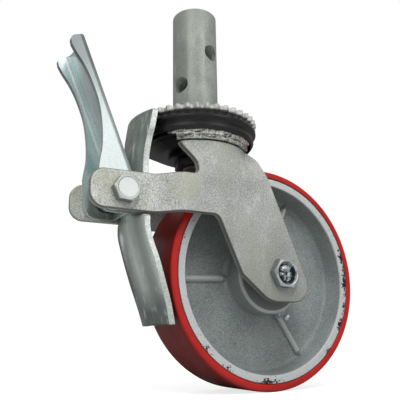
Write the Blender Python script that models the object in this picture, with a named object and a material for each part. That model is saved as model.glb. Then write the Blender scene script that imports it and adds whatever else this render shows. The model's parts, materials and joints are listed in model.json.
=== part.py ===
"""A scaffold castor with a solid stem, a total lock, a foot pedal and a solid wheel.

Metres, +Z up. The origin is on the swivel axis, on the top face of the toothed ring
that the stem stands on. The wheel's axle runs along Y, on the +X side of the stem, and
the brake pedal is on the -X side. "Near" is the -Y side and "far" is the +Y side.
"""

import math

import bmesh
import bpy

# Clearances
GAP = 0.0003              # between two pieces that touch or are pressed together
SIDE_PLAY = 0.0005        # each side of a piece that turns between two others

# Layout of the swivel axis, the axle and the brake bolt
TYRE_BACK = 0.0323        # swivel axis to the tyre's left side, along -X
BRAKE_OUTREACH = 0.0206   # brake bolt beyond the toothed ring's mean radius, along -X
BRAKE_DROP = 0.0648       # ring's top face down to the brake bolt

# Stem and king pin
STEM_RADIUS = 0.0175
STEM_LENGTH = 0.0935
STEM_CHAMFER = 0.0012
CROSS_HOLE_RADIUS = 0.00665
LOWER_HOLE_HEIGHT = 0.0292
UPPER_HOLE_HEIGHT = 0.0570
CROSS_HOLE_TURN = math.radians(20.0)
KING_PIN_RADIUS = 0.010
KING_PIN_CHAMFER = 0.001
WELD_LEG = 0.0027         # foot of the bead between stem and ring

# Toothed ring
RING_THICKNESS = 0.0048
RING_RADIUS = 0.0455      # mean of tip and root
TOOTH_DEPTH = 0.0020
TOOTH_COUNT = 40
POINTS_PER_TOOTH = 4

# Swivel bearing
RACE_THICKNESS = 0.0042
RACE_SPACE = 0.0029       # between the two grooved faces
BALL_INSET = 0.0095       # balls' pitch circle inside the crown's rim
BALL_RADIUS = 0.004
BALL_COUNT = 12
GROOVE_PLAY = 0.00025
CAGE_THICKNESS = 0.0014
CAGE_WIDTH = 0.0090
LOWER_RACE_RADIUS = 0.021
LOWER_RACE_THICKNESS = 0.0032
LOWER_RACE_EDGE = 0.0006
KING_NUT_FLATS = 0.030
KING_NUT_HEIGHT = 0.0060
PIN_TAIL = 0.0005         # king pin below its nut

# Dust seal
SEAL_OVERHANG = 0.0005    # widest ridge beyond the ring's mean radius
SEAL_HEIGHT = 0.0134
SEAL_SEAT = 0.0055        # height of the seal's tight collar round the upper race
SEAL_COLLAR = 0.0058      # thickness of that collar, at the widest ridge
SEAL_WALL = 0.0041        # thickness below the collar, at the widest ridge
SEAL_RIDGE = 0.0034       # depth of the outer profile, ridge to foot

# Crown
CROWN_PLAY = 0.0024       # between the crown's rim and the seal's lip
CROWN_PLATE = 0.0085      # thickness of the flat middle
CROWN_RIM_HEIGHT = 0.0045
CROWN_EDGE = 0.0012       # the rim's rounding
RACEWAY_HALF_WIDTH = 0.006
RACEWAY_HEIGHT = 0.0048   # raceway above the flat middle
BOWL_INSET = 0.0115       # flat underside inside the rim
CROWN_BORE_PLAY = 0.0006

# Fork legs and brake arms
PLATE = 0.005
LEG_HALF_WIDTH = 0.034    # centre plane to a leg's outer face
ARM_HALF_WIDTH = 0.0247   # centre plane to an arm's outer face
NECK_INSET = 0.0020       # neck's outer face inside the crown's rim
NECK_SHARE = 0.6935       # the neck is round for this share of its radius
NECK_TOP = 0.0245         # ring's top face down to the legs' top edge
LEG_END_RADIUS = 0.0197
ARM_HALF_HEIGHT = 0.0131
ARM_TAIL = 0.0233         # brake bolt to the arm's free end
ARM_CORNER = 0.010
BEND_HEIGHT = 0.022       # height over which the plate rounds into the neck
BEND_TOP = 0.0275         # ring's top face down to where the neck is fully round
JOGGLE_LENGTH = 0.020     # along X, where an arm is set in from its leg
JOGGLE_GAP = 0.001        # between the joggle and the round neck
FAR_NECK_START = 0.008    # the far leg's neck starts here, the near one's at -NECK_LEFT
NECK_LEFT_FLAT = 0.0015   # flat beside the round neck, on the arm's side
NECK_RIGHT_CUT = 0.0005   # round neck cut off on the other side
NOTCH_LEAN = 0.0095       # sideways, from the neck's top down to the arm
NOTCH_ROUND = 0.006
SHOULDER_WIDTH = 0.0127   # neck's right end to the leg's right shoulder
SHOULDER_DROP = 0.0058

# Weld bands between legs and crown
BAND_THICKNESS = 0.0018
BAND_STEP = math.radians(6.0)
BAND_END_SHARE = 0.55     # thickness left at a band's ends
BAND_OVERRUN = 0.0030     # band beyond the neck's edges

# Axle
AXLE_RADIUS = 0.006
AXLE_NUT_FLATS = 0.019
AXLE_NUT_HEIGHT = 0.0097
NUT_RECESS_RADIUS = 0.0078
NUT_RECESS_DEPTH = 0.0010
AXLE_HEAD_HEIGHT = 0.0075
AXLE_TAIL = 0.0087        # bolt's end beyond the leg's outer face
SLEEVE_RADIUS = 0.009
WASHER_RADIUS = 0.0125
BOLT_CHAMFER = 0.0008

# Wheel
WHEEL_RADIUS = 0.080
TREAD_SIDE_SPACE = 0.0064 # tyre to the legs' inner faces
TYRE_THICKNESS = 0.0052
TYRE_EDGE = 0.0022        # the shoulders' rounding
RIM_THICKNESS = 0.0055    # at its edges
RIM_TAPER = 0.0025        # thicker by this at the web
WEB_HALF_WIDTH = 0.006
RIB_HALF_WIDTH = 0.00175
RIB_HALF_DEPTH = 0.0085
RIB_COUNT = 3
HUB_RADIUS = 0.0269
WASHER_SPACE = 0.0055     # hub's end to a leg's inner face
HUB_CHAMFER = 0.0010
HUB_FOOT = 0.0026
BUSH_THICKNESS = 0.0017
NIPPLE_ANGLE = math.radians(-57.0)
NIPPLE_LENGTH = 0.0078
NIPPLE_RADIUS = 0.0032
NIPPLE_SHARE = 0.49       # centre plane to the nipple's foot, of the hub's half width

# Brake bolt
BRAKE_BOLT_RADIUS = 0.005
BRAKE_FLATS = 0.0165
BRAKE_HEAD_HEIGHT = 0.0064
BRAKE_NUT_HEIGHT = 0.0080
BRAKE_TAIL = 0.0100
BRAKE_SLEEVE_RADIUS = 0.008

# Pedal
PEDAL_WALL = 0.004
PEDAL_SLOPE = math.radians(68.2)     # of the web, from level
PEDAL_WEB_OFFSET = 0.0134            # brake bolt to the web's outer face, square to it
PEDAL_TOP = 0.0440                   # pedal's top corner above the ring's top face
PEDAL_WEB_END = 0.0152               # lower end of the web above the brake bolt
PEDAL_LIP_DEPTH = 0.0120             # depth of the cheeks at the top
PEDAL_CORNER = 0.0015                # rounding of the cheeks' outer top corners
PEDAL_DIP = 0.0030                   # dip of the web's top edge between the cheeks
CAM_SMALL_RADIUS = 0.0104
CAM_GROWTH = 0.0045

# Brake shoe
SHOE_THICKNESS = 0.0042
SHOE_TOP = 0.0035         # ring's top face down to the shoe's top edge
SHOE_BOTTOM = 0.0345      # axle down to the shoe's bottom edge
SHOE_RISE = 0.0057        # arch of its section, crest to edges
SHOE_PLAY = 0.0006        # cam to pad, brake off
SHOE_FLARE = 0.0068       # each side, at its widest, beyond the width between the arms
SHOE_SHOULDER = 0.0030    # height over which it widens below the arms
HINGE_DROP = 0.0055       # ring's top face down to the shoe's rocking axis
HINGE_OUTREACH = 0.0035   # that axis beyond the ring's mean radius
BRACKET_WALL = 0.003
BRACKET_HALF_WIDTH = 0.0140
BRACKET_HALF_HEIGHT = 0.0128
BRACKET_TAIL = 0.0125     # brake bolt to the end of an ear
SLOT_TRAVEL = 0.0010
PAD_HALF_HEIGHT = 0.009
PAD_INSET = 0.0003        # pad's sides inside the cam's
TYRE_CLEARANCE = 0.010    # crown's underside to the tyre's top

# Facets
WHEEL_STEPS = 60
CROWN_STEPS = 40
ROUND_STEPS = 24
SMALL_STEPS = 12

# Radii that follow from the toothed ring's, outwards to inwards
SEAL_RADIUS = RING_RADIUS + SEAL_OVERHANG
SEAL_LIP_RADIUS = SEAL_RADIUS - SEAL_WALL
UPPER_RACE_RADIUS = SEAL_RADIUS - SEAL_COLLAR
CROWN_RADIUS = SEAL_LIP_RADIUS - CROWN_PLAY
BALL_PITCH_RADIUS = CROWN_RADIUS - BALL_INSET
BOWL_RADIUS = CROWN_RADIUS - BOWL_INSET
NECK_RADIUS = CROWN_RADIUS - NECK_INSET
NECK_SPAN = NECK_SHARE * NECK_RADIUS
NECK_LEFT = NECK_SPAN + NECK_LEFT_FLAT
NECK_RIGHT = NECK_SPAN - NECK_RIGHT_CUT
JOGGLE_END = -NECK_SPAN - JOGGLE_GAP
JOGGLE_START = JOGGLE_END - JOGGLE_LENGTH
BRAKE_REACH = RING_RADIUS + BRAKE_OUTREACH
WELD_RADIUS = STEM_RADIUS + GAP + WELD_LEG

# Heights and places that follow from the sizes above
RING_BOTTOM = -RING_THICKNESS
RACE_TOP = RING_BOTTOM - GAP
RACE_BOTTOM = RACE_TOP - RACE_THICKNESS
RACEWAY_TOP = RACE_BOTTOM - RACE_SPACE
BALL_HEIGHT = (RACE_BOTTOM + RACEWAY_TOP) / 2
GROOVE_RADIUS = BALL_RADIUS + GROOVE_PLAY
CROWN_FLOOR = RACEWAY_TOP - RACEWAY_HEIGHT
CROWN_BOTTOM = CROWN_FLOOR - CROWN_PLATE
CROWN_RIM_TOP = RACEWAY_TOP - 0.8 * RACEWAY_HEIGHT
CROWN_RIM_BOTTOM = CROWN_RIM_TOP - CROWN_RIM_HEIGHT
LOWER_RACE_TOP = CROWN_BOTTOM - GAP
LOWER_RACE_BOTTOM = LOWER_RACE_TOP - LOWER_RACE_THICKNESS
KING_NUT_TOP = LOWER_RACE_BOTTOM - GAP
KING_NUT_BOTTOM = KING_NUT_TOP - KING_NUT_HEIGHT
KING_PIN_END = KING_NUT_BOTTOM - PIN_TAIL
PIN_BORE = KING_PIN_RADIUS + GAP
AXLE_DROP = WHEEL_RADIUS + TYRE_CLEARANCE - CROWN_BOTTOM
TRAIL = WHEEL_RADIUS - TYRE_BACK
AXLE = (TRAIL, 0.0, -AXLE_DROP)
BRAKE_BOLT = (-BRAKE_REACH, 0.0, -BRAKE_DROP)
SHOE_HINGE = (-RING_RADIUS - HINGE_OUTREACH, 0.0, -HINGE_DROP)
TYRE_INNER_RADIUS = WHEEL_RADIUS - TYRE_THICKNESS
RIM_RADIUS = TYRE_INNER_RADIUS - GAP
RIM_EDGE_RADIUS = RIM_RADIUS - RIM_THICKNESS
RIM_FOOT_RADIUS = RIM_EDGE_RADIUS - RIM_TAPER
BUSH_INNER_RADIUS = SLEEVE_RADIUS + GAP
BUSH_OUTER_RADIUS = BUSH_INNER_RADIUS + BUSH_THICKNESS
LEG_INNER = LEG_HALF_WIDTH - PLATE
TREAD_HALF_WIDTH = LEG_INNER - TREAD_SIDE_SPACE
RIM_HALF_WIDTH = TREAD_HALF_WIDTH - GAP
HUB_HALF_WIDTH = LEG_INNER - WASHER_SPACE
ARM_INNER = ARM_HALF_WIDTH - PLATE
PEDAL_HALF_WIDTH = ARM_INNER - SIDE_PLAY
PEDAL_INNER = PEDAL_HALF_WIDTH - PEDAL_WALL


def clear_scene():
    for item in list(bpy.data.objects):
        bpy.data.objects.remove(item, do_unlink=True)


def make_material(name, colour, roughness, metallic):
    material = bpy.data.materials.new(name)
    material.use_nodes = True
    shader = material.node_tree.nodes["Principled BSDF"]
    shader.inputs["Base Color"].default_value = (*colour, 1.0)
    shader.inputs["Roughness"].default_value = roughness
    shader.inputs["Metallic"].default_value = metallic
    material.diffuse_color = (*colour, 1.0)
    return material


def make_materials():
    return {
        "stem steel": make_material("stem steel", (0.42, 0.43, 0.40), 0.38, 1.0),
        "ring steel": make_material("ring steel", (0.60, 0.60, 0.58), 0.40, 1.0),
        "weld": make_material("weld", (0.62, 0.62, 0.60), 0.45, 1.0),
        "seal": make_material("seal", (0.02, 0.02, 0.02), 0.45, 0.0),
        "bearing steel": make_material("bearing steel", (0.70, 0.70, 0.70), 0.20, 1.0),
        "crown": make_material("crown", (0.05, 0.05, 0.05), 0.55, 0.6),
        "galvanised": make_material("galvanised", (0.52, 0.52, 0.50), 0.50, 0.8),
        "bright zinc": make_material("bright zinc", (0.72, 0.74, 0.74), 0.28, 1.0),
        "brake steel": make_material("brake steel", (0.42, 0.45, 0.43), 0.36, 1.0),
        "tyre": make_material("tyre", (0.45, 0.03, 0.02), 0.45, 0.0),
        "wheel paint": make_material("wheel paint", (0.30, 0.31, 0.31), 0.50, 0.5),
        "bronze": make_material("bronze", (0.55, 0.38, 0.18), 0.35, 1.0),
    }


def add_object(name, mesh_builder, origin=(0.0, 0.0, 0.0)):
    """Make an object whose origin is at the given place, from a closed bmesh."""
    bmesh.ops.recalc_face_normals(mesh_builder, faces=mesh_builder.faces)
    bmesh.ops.translate(mesh_builder, verts=mesh_builder.verts, vec=[-value for value in origin])
    mesh = bpy.data.meshes.new(name)
    mesh_builder.to_mesh(mesh)
    mesh_builder.free()
    item = bpy.data.objects.new(name, mesh)
    item.location = origin
    bpy.context.scene.collection.objects.link(item)
    return item


def finish(item, material, sharp_angle=32.0):
    item.data.materials.clear()
    item.data.materials.append(material)
    item.data.shade_smooth()
    item.data.set_sharp_from_angle(angle=math.radians(sharp_angle))
    return item


def combine(item, tool, operation):
    """Cut, keep or join with a second object, which is then gone."""
    bpy.context.view_layer.update()
    modifier = item.modifiers.new(operation, "BOOLEAN")
    modifier.operation = operation
    modifier.solver = "EXACT"
    modifier.object = tool
    graph = bpy.context.evaluated_depsgraph_get()
    result = bpy.data.meshes.new_from_object(item.evaluated_get(graph))
    item.modifiers.remove(modifier)
    item.data = result
    bpy.data.objects.remove(tool, do_unlink=True)
    return item


def place(radius, angle, height, axis):
    """A point on a circle round Z or Y; the angle starts at +X and turns to +Y or +Z."""
    across = radius * math.cos(angle)
    along = radius * math.sin(angle)
    return (across, along, height) if axis == "Z" else (across, height, along)


def turned(profile, steps, axis="Z", centre=(0.0, 0.0, 0.0)):
    """Turn a list of (radius, height) points right round an axis."""
    builder = bmesh.new()
    rings = []
    for radius, height in profile:
        count = 1 if radius == 0.0 else steps
        spots = [place(radius, math.tau * step / steps, height, axis) for step in range(count)]
        rings.append([builder.verts.new(spot) for spot in spots])
    solid_core = profile[0][0] == 0.0
    pairs = list(zip(rings, rings[1:]))
    if not solid_core:
        pairs.append((rings[-1], rings[0]))
    for upper, lower in pairs:
        for step in range(steps):
            following = (step + 1) % steps
            corners = [upper[step % len(upper)], upper[following % len(upper)],
                       lower[following % len(lower)], lower[step % len(lower)]]
            unique = list(dict.fromkeys(corners))
            builder.faces.new(unique)
    bmesh.ops.translate(builder, verts=builder.verts, vec=centre)
    return builder


def extruded(outline, start, end, axis="Y"):
    """Extrude an outline: (x, z) points along Y, or (x, y) points along Z."""
    builder = bmesh.new()
    layers = []
    for height in (start, end):
        if axis == "Y":
            spots = [(across, height, along) for across, along in outline]
        else:
            spots = [(across, along, height) for across, along in outline]
        layers.append([builder.verts.new(spot) for spot in spots])
    builder.faces.new(layers[0])
    builder.faces.new(list(reversed(layers[1])))
    for index in range(len(outline)):
        following = (index + 1) % len(outline)
        builder.faces.new((layers[0][index], layers[0][following],
                           layers[1][following], layers[1][index]))
    return builder


def arc(centre, radius, start, end, steps):
    """Points on an arc, angles in radians."""
    points = []
    for step in range(steps + 1):
        angle = start + (end - start) * step / steps
        points.append((centre[0] + radius * math.cos(angle), centre[1] + radius * math.sin(angle)))
    return points


def rounded(corners, steps=6):
    """An outline from (x, y, fillet radius) corners."""
    outline = []
    count = len(corners)
    for index, (x, y, radius) in enumerate(corners):
        if radius <= 0.0:
            outline.append((x, y))
            continue
        before = corners[index - 1]
        after = corners[(index + 1) % count]
        to_before = (before[0] - x, before[1] - y)
        to_after = (after[0] - x, after[1] - y)
        length_before = math.hypot(*to_before)
        length_after = math.hypot(*to_after)
        in_before = (to_before[0] / length_before, to_before[1] / length_before)
        in_after = (to_after[0] / length_after, to_after[1] / length_after)
        cosine = in_before[0] * in_after[0] + in_before[1] * in_after[1]
        half = math.acos(max(-1.0, min(1.0, cosine))) / 2
        reach = min(radius / math.tan(half), 0.48 * length_before, 0.48 * length_after)
        size = reach * math.tan(half)
        middle = (in_before[0] + in_after[0], in_before[1] + in_after[1])
        span = math.hypot(*middle)
        distance = size / math.sin(half)
        centre = (x + middle[0] / span * distance, y + middle[1] / span * distance)
        first = (x + in_before[0] * reach, y + in_before[1] * reach)
        last = (x + in_after[0] * reach, y + in_after[1] * reach)
        start = math.atan2(first[1] - centre[1], first[0] - centre[0])
        end = math.atan2(last[1] - centre[1], last[0] - centre[0])
        turn = (end - start + math.pi) % math.tau - math.pi
        outline.extend(arc(centre, size, start, start + turn, steps))
    return outline


def polygon(centre, radius, sides, turn):
    return [(centre[0] + radius * math.cos(turn + math.tau * side / sides),
             centre[1] + radius * math.sin(turn + math.tau * side / sides))
            for side in range(sides)]


def rod(name, centre, radius, start, end, steps=ROUND_STEPS):
    """A plain cylinder along Y, for cutting."""
    outline = polygon((centre[0], centre[2]), radius, steps, 0.0)
    return add_object(name, extruded(outline, start, end))


def ease(value):
    value = max(0.0, min(1.0, value))
    return value * value * (3.0 - 2.0 * value)


def between(stations, value):
    """Read a smooth curve through (position, size) stations, positions rising."""
    if value <= stations[0][0]:
        return stations[0][1]
    for index in range(len(stations) - 1):
        low, high = stations[index], stations[index + 1]
        if value > high[0]:
            continue
        before = stations[max(index - 1, 0)]
        after = stations[min(index + 2, len(stations) - 1)]
        width = high[0] - low[0]
        slope_low = (high[1] - before[1]) / (high[0] - before[0]) * width
        slope_high = (after[1] - low[1]) / (after[0] - low[0]) * width
        t = (value - low[0]) / width
        return ((2 * t ** 3 - 3 * t ** 2 + 1) * low[1] + (t ** 3 - 2 * t ** 2 + t) * slope_low
                + (3 * t ** 2 - 2 * t ** 3) * high[1] + (t ** 3 - t ** 2) * slope_high)
    return stations[-1][1]


def ring_profile(inner, outer, bottom, top):
    return [(inner, top), (outer, top), (outer, bottom), (inner, bottom)]


def groove(facing_down, steps=5):
    """The ball groove's points, from the swivel axis outwards."""
    face = RACE_BOTTOM if facing_down else RACEWAY_TOP
    rise = abs(face - BALL_HEIGHT)
    start = math.asin(rise / GROOVE_RADIUS)
    points = []
    for step in range(steps + 1):
        angle = start + (math.pi - 2 * start) * step / steps
        height = GROOVE_RADIUS * math.sin(angle)
        height = BALL_HEIGHT + height if facing_down else BALL_HEIGHT - height
        points.append((BALL_PITCH_RADIUS - GROOVE_RADIUS * math.cos(angle), height))
    return points


def make_stem(material):
    profile = [(0.0, STEM_LENGTH),
               (STEM_RADIUS - STEM_CHAMFER, STEM_LENGTH),
               (STEM_RADIUS, STEM_LENGTH - STEM_CHAMFER),
               (STEM_RADIUS, 0.0),
               (KING_PIN_RADIUS, 0.0),
               (KING_PIN_RADIUS, KING_PIN_END + KING_PIN_CHAMFER),
               (KING_PIN_RADIUS - KING_PIN_CHAMFER, KING_PIN_END),
               (0.0, KING_PIN_END)]
    stem = add_object("stem", turned(profile, 2 * ROUND_STEPS))
    reach = 2 * STEM_RADIUS
    holes = ((LOWER_HOLE_HEIGHT, math.pi / 2 + CROSS_HOLE_TURN), (UPPER_HOLE_HEIGHT, CROSS_HOLE_TURN))
    for height, turn in holes:
        hole = rod("hole", (0.0, 0.0, height), CROSS_HOLE_RADIUS, -reach, reach)
        hole.rotation_euler = (0.0, 0.0, turn)
        combine(stem, hole, "DIFFERENCE")
    return finish(stem, material)


def make_stem_weld(material):
    inner = STEM_RADIUS + GAP
    profile = [(inner, 0.9 * WELD_LEG),
               (inner + 0.45 * WELD_LEG, 0.7 * WELD_LEG),
               (WELD_RADIUS, 0.2 * WELD_LEG),
               (WELD_RADIUS, 0.0),
               (inner, 0.0)]
    return finish(add_object("stem_weld", turned(profile, CROWN_STEPS)), material)


def make_lock_ring(material):
    """A ring with rounded teeth, and a shallow recess that the stem and its bead stand in."""
    outline = []
    count = TOOTH_COUNT * POINTS_PER_TOOTH
    for index in range(count):
        angle = math.tau * index / count
        wave = math.cos(angle * TOOTH_COUNT)
        radius = RING_RADIUS + 0.5 * TOOTH_DEPTH * wave
        outline.append((radius * math.cos(angle), radius * math.sin(angle)))
    ring = add_object("lock_ring", extruded(outline, RING_BOTTOM, 0.0, "Z"))
    bore = polygon((0.0, 0.0), PIN_BORE, ROUND_STEPS, 0.0)
    cutter = add_object("bore", extruded(bore, 2 * RING_BOTTOM, RING_THICKNESS, "Z"))
    combine(ring, cutter, "DIFFERENCE")
    seat = polygon((0.0, 0.0), WELD_RADIUS + GAP, CROWN_STEPS, 0.0)
    recess = add_object("recess", extruded(seat, -GAP, RING_THICKNESS, "Z"))
    combine(ring, recess, "DIFFERENCE")
    return finish(ring, material, 50.0)


def make_upper_race(material):
    profile = [(PIN_BORE, RACE_BOTTOM)]
    profile += groove(True)
    profile += [(UPPER_RACE_RADIUS, RACE_BOTTOM), (UPPER_RACE_RADIUS, RACE_TOP), (PIN_BORE, RACE_TOP)]
    return finish(add_object("upper_race", turned(profile, CROWN_STEPS)), material)


def make_balls(material):
    builder = bmesh.new()
    bmesh.ops.create_icosphere(builder, subdivisions=2, radius=BALL_RADIUS)
    first = finish(add_object("ball_01", builder), material, 60.0)
    balls = [first]
    for index in range(BALL_COUNT):
        angle = math.tau * (index + 0.5) / BALL_COUNT
        ball = first
        if index > 0:
            ball = bpy.data.objects.new(f"ball_{index + 1:02d}", first.data)
            bpy.context.scene.collection.objects.link(ball)
            balls.append(ball)
        ball.location = place(BALL_PITCH_RADIUS, angle, BALL_HEIGHT, "Z")
    return balls


def make_ball_cage(material):
    inner = BALL_PITCH_RADIUS - CAGE_WIDTH / 2
    outer = BALL_PITCH_RADIUS + CAGE_WIDTH / 2
    low = BALL_HEIGHT - CAGE_THICKNESS / 2
    high = BALL_HEIGHT + CAGE_THICKNESS / 2
    cage = add_object("ball_cage", turned(ring_profile(inner, outer, low, high), CROWN_STEPS))
    for index in range(BALL_COUNT):
        angle = math.tau * (index + 0.5) / BALL_COUNT
        spot = place(BALL_PITCH_RADIUS, angle, 0.0, "Z")
        outline = polygon(spot, BALL_RADIUS + GAP / 2, SMALL_STEPS, angle)
        pocket = add_object("pocket", extruded(outline, low - GAP, high + GAP, "Z"))
        combine(cage, pocket, "DIFFERENCE")
    return finish(cage, material)


def make_dust_seal(material):
    top = RACE_TOP
    collar = UPPER_RACE_RADIUS + GAP
    ridges = [(0.59, 0.0), (0.41, 0.15), (0.06, 0.25), (0.0, 0.33), (0.12, 0.40), (0.59, 0.49),
              (0.76, 0.58), (0.62, 0.69), (0.62, 0.81), (0.82, 0.93), (1.0, 1.0)]
    profile = [(SEAL_RADIUS - inset * SEAL_RIDGE, top - depth * SEAL_HEIGHT)
               for inset, depth in ridges]
    profile += [(SEAL_LIP_RADIUS, top - SEAL_HEIGHT), (SEAL_LIP_RADIUS, top - 1.35 * SEAL_SEAT),
                (collar, top - SEAL_SEAT), (collar, top)]
    return finish(add_object("dust_seal", turned(profile, CROWN_STEPS)), material)


def make_lower_race(material):
    edge = LOWER_RACE_EDGE
    profile = [(PIN_BORE, LOWER_RACE_TOP), (LOWER_RACE_RADIUS - edge, LOWER_RACE_TOP),
               (LOWER_RACE_RADIUS, LOWER_RACE_TOP - edge), (LOWER_RACE_RADIUS, LOWER_RACE_BOTTOM),
               (PIN_BORE, LOWER_RACE_BOTTOM)]
    return finish(add_object("lower_race", turned(profile, ROUND_STEPS)), material)


def hexagon_blank(name, centre, flats, start, end, turn, axis="Y"):
    """A hexagon whose corners are taken off by a cone at its outer end."""
    corner = flats / math.sqrt(3.0)
    spot = (centre[0], centre[2]) if axis == "Y" else (centre[0], centre[1])
    blank = add_object(name, extruded(polygon(spot, corner, 6, turn), start, end, axis))
    bevel = corner - 0.96 * flats / 2
    drop = math.copysign(0.5 * bevel, end - start)
    cone = [(0.0, start - drop), (1.1 * corner, start - drop), (1.1 * corner, end - 1.4 * drop),
            (0.96 * flats / 2, end), (0.0, end)]
    middle = (centre[0], 0.0, centre[2]) if axis == "Y" else (centre[0], centre[1], 0.0)
    tool = add_object("cone", turned(cone, ROUND_STEPS, axis, middle))
    return combine(blank, tool, "INTERSECT")


def make_king_nut(material):
    nut = hexagon_blank("king_nut", (0.0, 0.0, 0.0), KING_NUT_FLATS,
                        KING_NUT_TOP, KING_NUT_BOTTOM, math.radians(12.0), "Z")
    bore = polygon((0.0, 0.0), PIN_BORE, ROUND_STEPS, 0.0)
    cutter = add_object("bore", extruded(bore, KING_NUT_BOTTOM - GAP, KING_NUT_TOP + GAP, "Z"))
    combine(nut, cutter, "DIFFERENCE")
    return finish(nut, material)


def make_crown(material):
    bore = KING_PIN_RADIUS + CROWN_BORE_PLAY
    raceway_inner = BALL_PITCH_RADIUS - RACEWAY_HALF_WIDTH
    raceway_outer = BALL_PITCH_RADIUS + RACEWAY_HALF_WIDTH
    edge = CROWN_EDGE
    profile = [(bore, CROWN_FLOOR), (raceway_inner - 1.5 * edge, CROWN_FLOOR),
               (raceway_inner, CROWN_FLOOR + 1.5 * edge), (raceway_inner, RACEWAY_TOP)]
    profile += groove(False)
    profile += [(raceway_outer, RACEWAY_TOP), (raceway_outer + edge, RACEWAY_TOP - 2.5 * edge),
                (CROWN_RADIUS - edge, CROWN_RIM_TOP), (CROWN_RADIUS, CROWN_RIM_TOP - 0.8 * edge),
                (CROWN_RADIUS, CROWN_RIM_BOTTOM + 0.4 * edge),
                (CROWN_RADIUS - 1.25 * edge, CROWN_RIM_BOTTOM),
                (CROWN_RADIUS - 3 * edge, CROWN_RIM_BOTTOM - 1.25 * edge),
                (BOWL_RADIUS + 2.5 * edge, CROWN_BOTTOM + 0.8 * edge), (BOWL_RADIUS, CROWN_BOTTOM),
                (bore, CROWN_BOTTOM)]
    return finish(add_object("crown", turned(profile, CROWN_STEPS)), material)


def leg_face(x, z):
    """Half distance between the two plates' outer faces at this place."""
    span = min(abs(x), NECK_SPAN)
    neck = math.sqrt(NECK_RADIUS ** 2 - span ** 2)
    rounding = ease((z + BEND_TOP + BEND_HEIGHT) / BEND_HEIGHT)
    body = LEG_HALF_WIDTH + (neck - LEG_HALF_WIDTH) * rounding
    spread = ease((x - JOGGLE_START) / (JOGGLE_END - JOGGLE_START))
    return ARM_HALF_WIDTH + (body - ARM_HALF_WIDTH) * spread


def leg_outline(far_side):
    """A leg and its brake arm in one plate, counter-clockwise from the arm's lower corner."""
    axle_x, axle_z = AXLE[0], AXLE[2]
    bolt_x, bolt_z = BRAKE_BOLT[0], BRAKE_BOLT[2]
    arm_low = bolt_z - ARM_HALF_HEIGHT
    arm_high = bolt_z + ARM_HALF_HEIGHT
    end = LEG_END_RADIUS
    bend = NOTCH_ROUND
    if far_side:
        neck = [(FAR_NECK_START, -NECK_TOP, bend / 6),
                (FAR_NECK_START - 0.1 * NOTCH_LEAN, arm_high + 2 * NOTCH_LEAN, 2 * bend),
                (FAR_NECK_START - NOTCH_LEAN, arm_high + 0.26 * NOTCH_LEAN, 2.3 * bend)]
    else:
        neck = [(-NECK_LEFT, -NECK_TOP, bend / 6),
                (-NECK_LEFT + 0.93 * NOTCH_LEAN, arm_high + 1.05 * NOTCH_LEAN, 1.5 * bend),
                (-NECK_LEFT + NOTCH_LEAN, arm_high + 0.13 * NOTCH_LEAN, bend)]
    return rounded([
        (bolt_x - ARM_TAIL, arm_low, ARM_CORNER),
        (axle_x - 2.58 * end, arm_low, bend),
        (axle_x - 1.68 * end, axle_z - 0.08 * end, 0.7 * bend),
        (axle_x - 0.56 * end, axle_z - end, end),
        (axle_x + 1.48 * end, axle_z - end, end),
        (axle_x - 0.42 * end, axle_z + 3.48 * end, end),
        (NECK_RIGHT + SHOULDER_WIDTH, -NECK_TOP - SHOULDER_DROP, bend),
        (NECK_RIGHT, -NECK_TOP, bend / 2),
        *neck,
        (bolt_x - ARM_TAIL, arm_high, ARM_CORNER),
    ])


def steps_between(start, end, count):
    return [start + (end - start) * step / count for step in range(count + 1)]


def make_leg(name, side, material):
    """A bent plate trimmed to the leg's outline; side is -1 near and +1 far."""
    left = BRAKE_BOLT[0] - 2 * ARM_TAIL
    right = AXLE[0] + 2 * LEG_END_RADIUS
    bottom = AXLE[2] - 2 * LEG_END_RADIUS
    columns = [left] + steps_between(JOGGLE_START, JOGGLE_END, 8)
    columns += steps_between(-NECK_SPAN, NECK_SPAN, 10)[1:] + [right]
    rows = [bottom] + steps_between(-BEND_TOP - BEND_HEIGHT, -BEND_TOP, 7) + [-NECK_TOP / 2]
    builder = bmesh.new()
    layers = []
    for inset in (0.0, PLATE):
        layers.append([[builder.verts.new((x, side * (leg_face(x, z) - inset), z)) for x in columns]
                       for z in rows])
    last_row, last_column = len(rows) - 1, len(columns) - 1
    for layer in layers:
        for row in range(last_row):
            for column in range(last_column):
                builder.faces.new((layer[row][column], layer[row][column + 1],
                                   layer[row + 1][column + 1], layer[row + 1][column]))
    border = [(0, column) for column in range(last_column)]
    border += [(row, last_column) for row in range(last_row)]
    border += [(last_row, column) for column in range(last_column, 0, -1)]
    border += [(row, 0) for row in range(last_row, 0, -1)]
    for index, (row, column) in enumerate(border):
        next_row, next_column = border[(index + 1) % len(border)]
        builder.faces.new((layers[0][row][column], layers[0][next_row][next_column],
                           layers[1][next_row][next_column], layers[1][row][column]))
    leg = add_object(name, builder)
    deep = side * 2 * LEG_HALF_WIDTH
    combine(leg, add_object("outline", extruded(leg_outline(side > 0), 0.0, deep)), "INTERSECT")
    combine(leg, rod("hole", AXLE, AXLE_RADIUS + GAP, 0.0, deep), "DIFFERENCE")
    combine(leg, rod("hole", BRAKE_BOLT, BRAKE_BOLT_RADIUS + GAP, 0.0, deep), "DIFFERENCE")
    return finish(leg, material)


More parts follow.
